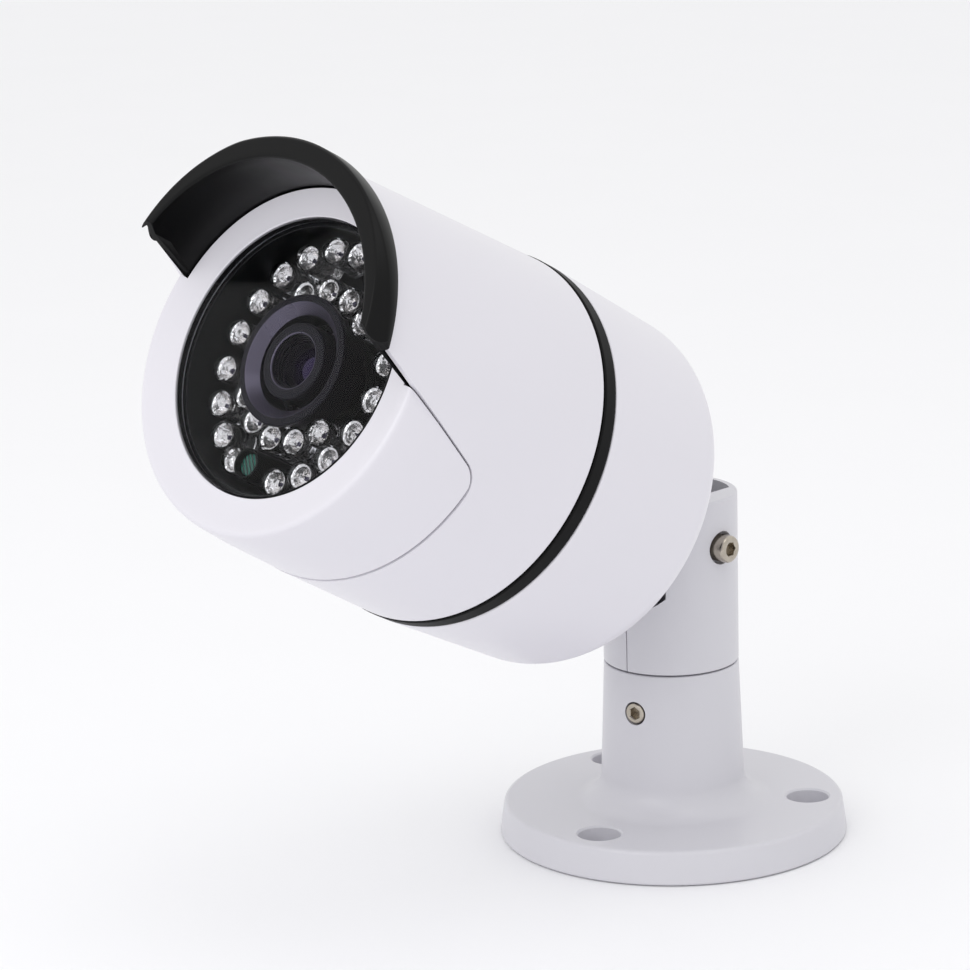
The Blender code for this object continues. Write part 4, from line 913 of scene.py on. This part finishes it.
class MakeBezel(MakesPart, bpy.types.Operator):
    """Bezel round the window, in one piece with the chin under it"""
    bl_idname = "bullet_camera.bezel"
    bl_label = "Front bezel"

    def build(self):
        seam = CHIN_EDGE + 0.3
        tongue = HOOD_BORE - 0.3
        tube = LINER_BORE - 0.3
        core = tube - BEZEL_WALL
        face = RIM_CREST - WINDOW_EDGE
        dish = [(WINDOW_RADIUS + (RIM_RADIUS - 0.9 - WINDOW_RADIUS) * k / 8,
                 WINDOW_EDGE + face * (k / 8) ** 1.3) for k in range(1, 9)]
        side = [(RIM_RADIUS + 0.3, RIM_CREST - 1.5), ((RIM_RADIUS + CHIN_RADIUS) / 2 + 0.1, RIM_CREST - 8)]
        outline = [(WINDOW_RADIUS, WINDOW_EDGE, 0.25)] + dish[:-1] + \
            [(RIM_RADIUS - 0.1, RIM_CREST, 0.9)] + side + \
            [(CHIN_RADIUS, seam, 0.3), (tongue, seam), (tongue, BEZEL_BACK), (core, BEZEL_BACK),
             (core, WINDOW_EDGE - 7.9), (WINDOW_RADIUS, WINDOW_EDGE - 6.9)]
        over = turned([(tube, BIG), (BIG, BIG), (BIG, seam), (tube, seam)])
        half_gap = sizes().seam_gap / MM / 2
        keep = prism(chin_region(half_gap + 0.15), -BIG, BIG, SIDE_VIEW)
        bezel = carved(turned(rounded(outline)), carved(over, keep))
        piece("body_front_bezel", bezel, BODY, "shell", "camera", ["front_bezel"])


# ---- visor -------------------------------------------------------------------------------------------
LIP_BACK = 123.8
CREASE_RADIUS = 31.0
CREASE_RISE = 3.4
CREASE_SLOPE = 0.8
LINER_WALL = 1.0
VISOR_STEPS = 120
LIP_DROP = 1.4
LINING_RISE = 0.9


class MakeVisor(MakesPart, bpy.types.Operator):
    """Black sun visor: a lining under the hood with a thick lip that narrows at its two ends"""
    bl_idname = "bullet_camera.visor"
    bl_label = "Visor"

    def crease(self, angle):
        """Radius where the lip's front meets its sloping side."""
        across = CREASE_RISE * math.sin(angle)
        reach = CREASE_RISE * math.cos(angle) + math.sqrt(CREASE_RADIUS ** 2 - across ** 2)
        return min(reach, LIP_RADIUS - 0.35)

    def section(self, share):
        """Outline at a share of the way from the middle to one end, with the ends rounded off."""
        outer = LINER_BORE + LINER_WALL
        crease = self.crease(share * math.radians(74))
        side = LIP_FRONT - (LIP_RADIUS - crease) / CREASE_SLOPE
        stations = [LINER_BACK + (LIP_FRONT - 2.4 - LINER_BACK) * k / 8 for k in range(9)]
        outline = [(LINER_BORE, station) for station in stations]
        outline += arc((LINER_BORE + 0.5, LIP_FRONT - 0.5), 0.5, 180, 90, 5)
        inner = LINER_BORE + 0.6
        outline += [(inner + (crease - 0.3 - inner) * k / 6, LIP_FRONT) for k in range(1, 7)]
        outline += [(crease - 0.1, LIP_FRONT - 0.02), (crease + 0.06, LIP_FRONT - 0.14)]
        slope = (LIP_RADIUS - 0.1 - crease - 0.06, side + 0.1 - LIP_FRONT + 0.14)
        outline += [(crease + 0.06 + slope[0] * k / 6, LIP_FRONT - 0.14 + slope[1] * k / 6)
                    for k in range(1, 7)]
        back = min(LIP_BACK + 0.5, side - 0.5)
        outline += [(LIP_RADIUS, side - 0.15), (LIP_RADIUS, back + 0.2), (LIP_RADIUS - 0.15, LIP_BACK + 0.1)]
        start = LIP_RADIUS - 0.4
        outline += [(start + (outer + 0.2 - start) * k / 8, LIP_BACK) for k in range(9)]
        return outline + [(outer, LIP_BACK - 0.15), (outer, LINER_BACK)]

    def end_angle(self, radius, station):
        """Angle where the lining stops on the seam's line, drawn in round the lip's front and back."""
        round_off = sizes().lip_round / MM
        share = min(1.0, max(0.0, (station - LIP_BACK + 1.8) / 2.4))
        drop = LIP_DROP * share * share * (3 - 2 * share) - LINING_RISE * (1 - share)
        middle = (LINER_BORE + LIP_RADIUS) / 2
        angle = math.acos((seam_height(station) - drop) / (radius + (middle - radius) * share))
        ahead = max(0.0, station - (LIP_FRONT - round_off)) / round_off
        across = (radius - middle) / (LIP_RADIUS - middle)
        near = min(1.0, 0.95 * share * across ** 2 + 0.8 * ahead ** 2)
        return angle - round_off * (1 - math.sqrt(1 - near)) / radius

    def build(self):
        sections = []
        for step in range(VISOR_STEPS + 1):
            share = 2 * step / VISOR_STEPS - 1
            share = math.copysign(1 - (1 - abs(share)) ** 1.15, share)
            ring = []
            for radius, station in self.section(abs(share)):
                angle = share * self.end_angle(radius, station)
                ring.append((radius * math.sin(angle), radius * math.cos(angle), station))
            sections.append(ring)
        visor = loft(sections)
        heads = []
        for node in ("visor_screw_left", "visor_screw_right"):
            x, y, station = measure_middle(node)
            lean = Matrix.Translation((0, 0, station)) @ Matrix.Rotation(-math.atan2(x, y), 4, "Z") @ \
                Matrix.Rotation(-QUARTER, 4, "X")
            heads.append((node, lean))
            visor = carved(visor, rod(1.3, 28, LINER_BORE + 0.3, 32, lean),
                           rod(1.3, LINER_BORE + 0.2, LINER_BORE + 1.5, 32, lean, end_radius=2.6))
        piece("sun_visor", visor, BODY, "visor", "camera", ["visor"])
        for node, lean in heads:
            top = LINER_BORE + LINER_WALL - 0.1
            outline = rounded([(0.0, top), (1.8, top, 0.1), (1.0, LINER_BORE + 0.3), (1.0, top - 4.6, 0.2),
                               (0.0, top - 4.6)])
            slots = [block((-1.1, -0.2, top - 0.5), (1.1, 0.2, top + 1)),
                     block((-0.2, -1.1, top - 0.5), (0.2, 1.1, top + 1))]
            screw = carved(turned(outline, SMALL, closed=False), *slots)
            piece(node + "_fine", screw, BODY @ lean, "nickel", "camera", [node])


# ---- window, lights and lens -------------------------------------------------------------------------
class MakeWindow(MakesPart, bpy.types.Operator):
    """Glass window with its blackened rim, and the dark shroud behind it"""
    bl_idname = "bullet_camera.window"
    bl_label = "Window"

    def build(self):
        outline = rounded([(0.0, GLASS_FRONT), (GLASS_RADIUS, GLASS_FRONT, 0.2),
                           (GLASS_RADIUS, GLASS_BACK, 0.1), (0.0, GLASS_BACK)])
        pane = turned(outline, closed=False)
        pane.normal_update()
        for face in pane.faces:
            middle = face.calc_center_median()
            if math.hypot(middle.x, middle.y) > GLASS_RADIUS - 0.15:
                face.material_index = 1
        piece("front_window", pane, BODY, "pane shroud", "camera", ["window_glass"])
        outline = rounded([(SHROUD_BORE, SHROUD_FRONT, 0.2), (SHROUD_RADIUS, SHROUD_FRONT, 0.1),
                           (SHROUD_RADIUS, SHROUD_BACK), (SHROUD_BORE, SHROUD_BACK)])
        piece("light_shroud", turned(outline), BODY, "shroud", "camera", ["led_shroud"])


LED_RADIUS = 2.5
LED_COLLAR = 2.75
LED_FOOT = 101.1
LED_TOP = 109.7
CUP_MOUTH = 107.0


class MakeLights(MakesPart, bpy.types.Operator):
    """Infrared lights: clear domes over silvered cups and chips, soldered in strings"""
    bl_idname = "bullet_camera.lights"
    bl_label = "Infrared lights"

    def spots(self, node):
        """Centres of one string's lights: the middles of its domes' highest points."""
        back = BODY.inverted()
        tops = [back @ v.co for v in frame["nodes"][node].data.vertices]
        highest = max(p.z for p in tops)
        found = []
        for point in tops:
            if highest - point.z < 0.01 and all(math.dist(point[:2], f) > 1.0 for f in found):
                found.append((point.x, point.y))
        return found

    def dome(self, bm, spot):
        """Clear body with its collar."""
        shoulder = LED_TOP - LED_RADIUS
        outline = [(0.0, LED_FOOT), (LED_COLLAR - 0.1, LED_FOOT), (LED_COLLAR, LED_FOOT + 0.1),
                   (LED_COLLAR, LED_FOOT + 0.9), (LED_COLLAR - 0.1, LED_FOOT + 1.0),
                   (LED_RADIUS, LED_FOOT + 1.05)]
        outline += arc((0.0, shoulder), LED_RADIUS, 0, 90, 12)[:-1] + [(0.0, LED_TOP)]
        turned(outline, 32, spot, bm, closed=False)

    def frame_parts(self, bm, spot, turn):
        """Cup, chip, bond post and the two leads inside and under the dome."""
        cup = [(0.0, CUP_MOUTH - 0.75), (0.5, CUP_MOUTH - 0.75), (1.2, CUP_MOUTH), (1.45, CUP_MOUTH),
               (1.45, CUP_MOUTH - 1.5), (1.1, CUP_MOUTH - 2.2), (0.0, CUP_MOUTH - 2.2)]
        turned(cup, 24, spot, bm, closed=False)
        aside = Vector((math.cos(turn), math.sin(turn), 0.0))
        for side, top in ((-0.6, CUP_MOUTH - 2.0), (2.05, CUP_MOUTH - 0.6)):
            centre = Vector((*spot, 0.0)) + aside * side
            bars = [((0.25, 0.6), LED_FOOT + 0.6, top), ((0.25, 0.25), BOARD_FRONT + 0.3, LED_FOOT + 0.7)]
            for (wide, deep), low, high in bars:
                place = Matrix.Translation(centre) @ Matrix.Rotation(turn, 4, "Z")
                low_corner, high_corner = (-wide, -deep, low), (wide, deep, high)
                shape = bmesh.ops.create_cube(bm, size=1.0)["verts"]
                bmesh.ops.scale(bm, verts=shape, vec=[h - l for l, h in zip(low_corner, high_corner)])
                bmesh.ops.translate(bm, verts=shape, vec=(0, 0, (low + high) / 2))
                bmesh.ops.transform(bm, matrix=place, verts=shape)

    def chip(self, bm, spot, turn):
        shape = bmesh.ops.create_cube(bm, size=1.0)["verts"]
        bmesh.ops.scale(bm, verts=shape, vec=(0.42, 0.42, 0.3))
        bmesh.ops.rotate(bm, verts=shape, cent=(0, 0, 0), matrix=Matrix.Rotation(turn, 3, "Z"))
        bmesh.ops.translate(bm, verts=shape, vec=(*spot, CUP_MOUTH - 0.58))

    def build(self):
        for number in range(1, 8):
            node = f"led_string_{number}"
            domes, metal, chips = bmesh.new(), bmesh.new(), bmesh.new()
            for spot in self.spots(node):
                turn = 2.4 * spot[0] + 1.7 * spot[1]
                self.dome(domes, spot)
                self.frame_parts(metal, spot, turn)
                self.chip(chips, spot, turn)
            piece(f"lights_{number}", domes, BODY, "epoxy", "camera", [node])
            piece(f"lead_frames_{number}", metal, BODY, "lead", "camera")
            piece(f"light_chips_{number}", chips, BODY, "chip", "camera")
        carry_over("black_board", "led_board")


CELL_SINK = 0.9


class MakeLightSensor(MakesPart, bpy.types.Operator):
    """Light cell under the lens, in its rubber sleeve"""
    bl_idname = "bullet_camera.light_sensor"
    bl_label = "Light sensor"

    def build(self):
        x, y, _ = measure_middle("photocell")
        back = BODY.inverted()
        sleeve_top = max((back @ v.co).z for v in frame["nodes"]["photocell_sleeve"].data.vertices)
        for name, node, key, slot, edge in (("light_cell", "photocell", "cell", "sensor_face", 0.25),
                                            ("light_cell_sleeve", "photocell_sleeve", "rubber",
                                             "black_rubber", 0.15)):
            points = [back @ v.co for v in frame["nodes"][node].data.vertices]
            low, high = min(p.z for p in points), max(p.z for p in points)
            radii = [math.hypot(p.x - x, p.y - y) for p in points]
            inner = 0.0 if node == "photocell" else min(radii)
            if not inner:
                high = sleeve_top - CELL_SINK
            if inner:
                outline = rounded([(inner, high, edge), (max(radii), high, edge), (max(radii), low),
                                   (inner, low)])
            else:
                outline = rounded([(0.0, high), (max(radii), high, edge), (max(radii), low), (0.0, low)])
            piece(name, turned(outline, SMALL, (x, y), closed=inner > 0), BODY, key, "camera", [node])


HOOD_TUBE = 10.3
BARREL_MOUTH = 4.9
BARREL_POCKET = 3.9                  # bore ahead of the front glass
BARREL_SEAT = 104.3                  # shoulder that the front glass rests on
BARREL_THREAD = 5.9
BARREL_SHOULDER = 7.6                # from the barrel's front back to its thread
BARREL_STOP = 2.4                    # bore of the aperture stop
BARREL_REAR_BORE = 3.3               # behind the stop
BARREL_REAR_DEPTH = 5.4
GLASS_FACE = 107.3
GLASS_CURVE = 7.0
GLASS_HALF = 3.6


class MakeLens(MakesPart, bpy.types.Operator):
    """Lens barrel and front glass, with the ring that shuts stray light from it"""
    bl_idname = "bullet_camera.lens"
    bl_label = "Lens"

    def mark_bevel(self, bm, radius, station):
        """Gives the second material, a painted sheen, to forward faces inside a radius and ahead of a
        station.
        """
        bm.normal_update()
        for face in bm.faces:
            middle = face.calc_center_median()
            if math.hypot(middle.x, middle.y) < radius and middle.z > station and face.normal.z > 0.1:
                face.material_index = 1

    def build(self):
        flange = LENS_HOOD_FRONT - 1.0
        outline = rounded([(LENS_HOOD_BORE, LENS_HOOD_FRONT - 1.9), (HOOD_TUBE + 0.1, LENS_HOOD_FRONT, 0.15),
                           (LENS_HOOD_RADIUS, LENS_HOOD_FRONT - 0.15, 0.3), (LENS_HOOD_RADIUS, flange),
                           (HOOD_TUBE, flange), (HOOD_TUBE, LENS_HOOD_BACK),
                           (LENS_HOOD_BORE, LENS_HOOD_BACK)])
        ring = turned(outline, 96)
        # The ring's forward bevel gets the lighter second material: a painted sheen.
        self.mark_bevel(ring, HOOD_TUBE + 0.12, LENS_HOOD_FRONT - 2.0)
        piece("lens_light_ring", ring, BODY, "anodised bevel", "camera", ["lens_hood"])

        ribs = []
        for number in range(4):
            station = BARREL_FRONT - 0.9 - 0.5 * number
            bore = BARREL_MOUTH - 0.18 * number
            ribs += [(bore, station), (bore - 0.18, station)]
        low = BARREL_FRONT - 3.0
        shoulder = BARREL_FRONT - BARREL_SHOULDER
        rear_end = BARREL_BACK + BARREL_REAR_DEPTH
        outline = rounded([(BARREL_MOUTH, BARREL_FRONT, 0.25), (BARREL_RADIUS, BARREL_FRONT, 0.4),
                           (BARREL_RADIUS, shoulder), (BARREL_THREAD, shoulder),
                           (BARREL_THREAD, BARREL_BACK), (BARREL_REAR_BORE, BARREL_BACK),
                           (BARREL_REAR_BORE, rear_end), (BARREL_STOP, rear_end), (BARREL_STOP, BARREL_SEAT),
                           (BARREL_POCKET, BARREL_SEAT), (BARREL_POCKET, low)] + ribs[::-1])
        barrel = turned(outline, 96)
        # The barrel's mouth bevel gets the lighter second material: a painted sheen.
        self.mark_bevel(barrel, BARREL_MOUTH + 0.3, BARREL_FRONT - 0.6)
        piece("lens_tube", barrel, BODY, "anodised bevel", "lens", ["lens_barrel"])

        span = math.degrees(math.asin(GLASS_HALF / GLASS_CURVE))
        crown = arc((0.0, GLASS_FACE - GLASS_CURVE), GLASS_CURVE, 90, 90 - span, 10)
        flat = BARREL_SEAT + 0.3
        front = turned(crown + [(GLASS_HALF, flat), (0.0, flat)], SMALL, closed=False)
        piece("lens_front_glass", front, BODY, "lens", "lens", ["front_lens"])
        carry_over("lens", "rear_lens", "ir_cut_filter")


class MakeElectronics(MakesPart, bpy.types.Operator):
    """Finishes of the boards, posts and lens holder inside the body"""
    bl_idname = "bullet_camera.electronics"
    bl_label = "Electronics"

    def build(self):
        carry_over("green_board", "sensor_board", "video_board")
        carry_over("brass", *[f"board_post_{n}" for n in range(1, 5)], "led_post_1", "led_post_2")
        carry_over("nylon", "lens_holder")
        carry_over("coil", "ir_cut_solenoid")
        carry_over("connector", "board_connector")
        carry_over("sensor", "image_sensor")


# ---- stage -------------------------------------------------------------------------------------------
VIEW_AZIMUTH = 43.484                # degrees from the front towards the right
VIEW_ELEVATION = 13.823
VIEW_ROLL = -1.495
VIEW_DISTANCE = 695.37 * MM
VIEW_OFFSET = (-35.34 * MM, 68.07 * MM)
LENS_LENGTH = 131.09                 # on a 36 mm sensor
ROOM_LIGHT = 0.95
SOFTBOXES = {                        # azimuth and elevation, distance and size in metres, watts
    "key_softbox": (5, 30, 0.9, 0.5, 1.5),
    "top_softbox": (70, 70, 1.0, 0.5, 0.7),
}


def viewpoint():
    """Place and turn of the studio camera."""
    azimuth, elevation, roll = (math.radians(a) for a in (VIEW_AZIMUTH, VIEW_ELEVATION, VIEW_ROLL))
    back = Vector((math.sin(azimuth) * math.cos(elevation), -math.cos(azimuth) * math.cos(elevation),
                   math.sin(elevation)))
    right = Vector((math.cos(azimuth), math.sin(azimuth), 0.0))
    up = back.cross(right)
    spot = back * VIEW_DISTANCE + right * VIEW_OFFSET[0] + up * VIEW_OFFSET[1]
    right, up = (right * math.cos(roll) + up * math.sin(roll), up * math.cos(roll) - right * math.sin(roll))
    return Matrix.Translation(spot) @ Matrix((right, up, back)).transposed().to_4x4()


class MakeStage(MakesPart, bpy.types.Operator):
    """Camera, pale floor and soft studio lights"""
    bl_idname = "bullet_camera.stage"
    bl_label = "Stage"

    def softbox(self, name, azimuth, elevation, distance, size, power, target):
        """A square soft light that looks at the target from a direction given in degrees."""
        light = bpy.data.lights.new(name, "AREA")
        light.shape = "SQUARE"
        light.size = size
        light.energy = power
        a, e = math.radians(azimuth), math.radians(elevation)
        back = Vector((math.sin(a) * math.cos(e), -math.cos(a) * math.cos(e), math.sin(e)))
        lamp = bpy.data.objects.new(name, light)
        lamp.location = target + back * distance
        lamp.rotation_mode = "QUATERNION"
        lamp.rotation_quaternion = back.to_track_quat("Z", "Y")
        bpy.context.scene.collection.objects.link(lamp)

    def build(self):
        scene = bpy.context.scene
        lens = bpy.data.cameras.new("studio_camera")
        lens.lens = LENS_LENGTH
        lens.sensor_width = 36.0
        viewer = bpy.data.objects.new("studio_camera", lens)
        scene.collection.objects.link(viewer)
        viewer.matrix_world = viewpoint()
        scene.camera = viewer

        floor = bmesh.new()
        bmesh.ops.create_grid(floor, x_segments=8, y_segments=8, size=3.0)
        mesh = bpy.data.meshes.new("studio_floor")
        floor.to_mesh(mesh)
        floor.free()
        mesh.transform(Matrix.Translation((0, 0, -0.0002)))
        mesh.materials.append(material("floor"))
        ground = bpy.data.objects.new("studio_floor", mesh)
        scene.collection.objects.link(ground)

        low, high = CAD_BOX
        middle = (low + high) / 2
        for name, values in SOFTBOXES.items():
            self.softbox(name, *values, middle)

        world = bpy.data.worlds.new("studio_world")
        world.use_nodes = True
        backdrop = world.node_tree.nodes["Background"]
        backdrop.inputs["Color"].default_value = (1.0, 1.0, 1.0, 1.0)
        backdrop.inputs["Strength"].default_value = ROOM_LIGHT
        scene.world = world
        scene.view_settings.view_transform = "Standard"


OPERATORS = (MakeStage, MakeBase, MakeHead, MakeTiltScrew, MakeNeck, MakeLockRing, MakeRearShell,
             MakeFrontShell, MakeBezel, MakeVisor, MakeWindow, MakeLights, MakeLightSensor, MakeLens,
             MakeElectronics)


class CameraPanel(bpy.types.Panel):
    """Sizes, colours and build steps"""
    bl_idname = "VIEW3D_PT_bullet_camera"
    bl_label = "Bullet camera"
    bl_space_type = "VIEW_3D"
    bl_region_type = "UI"
    bl_category = "Bullet camera"

    def draw(self, context):
        for group in (context.scene.camera_sizes, context.scene.camera_colours):
            box = self.layout.box()
            for name in group.bl_rna.properties.keys()[2:]:
                box.prop(group, name)
        for operator in OPERATORS:
            self.layout.operator(operator.bl_idname)


CLASSES = (CameraColours, CameraSizes, *OPERATORS, CameraPanel)


def register():
    for kind in CLASSES:
        bpy.utils.register_class(kind)
    bpy.types.Scene.camera_colours = bpy.props.PointerProperty(type=CameraColours)
    bpy.types.Scene.camera_sizes = bpy.props.PointerProperty(type=CameraSizes)


def unregister():
    del bpy.types.Scene.camera_colours
    del bpy.types.Scene.camera_sizes
    for kind in reversed(CLASSES):
        bpy.utils.unregister_class(kind)


def main():
    register()
    for operator in OPERATORS:
        group, step = operator.bl_idname.split(".")
        getattr(getattr(bpy.ops, group), step)()


if __name__ == "__main__":
    main()
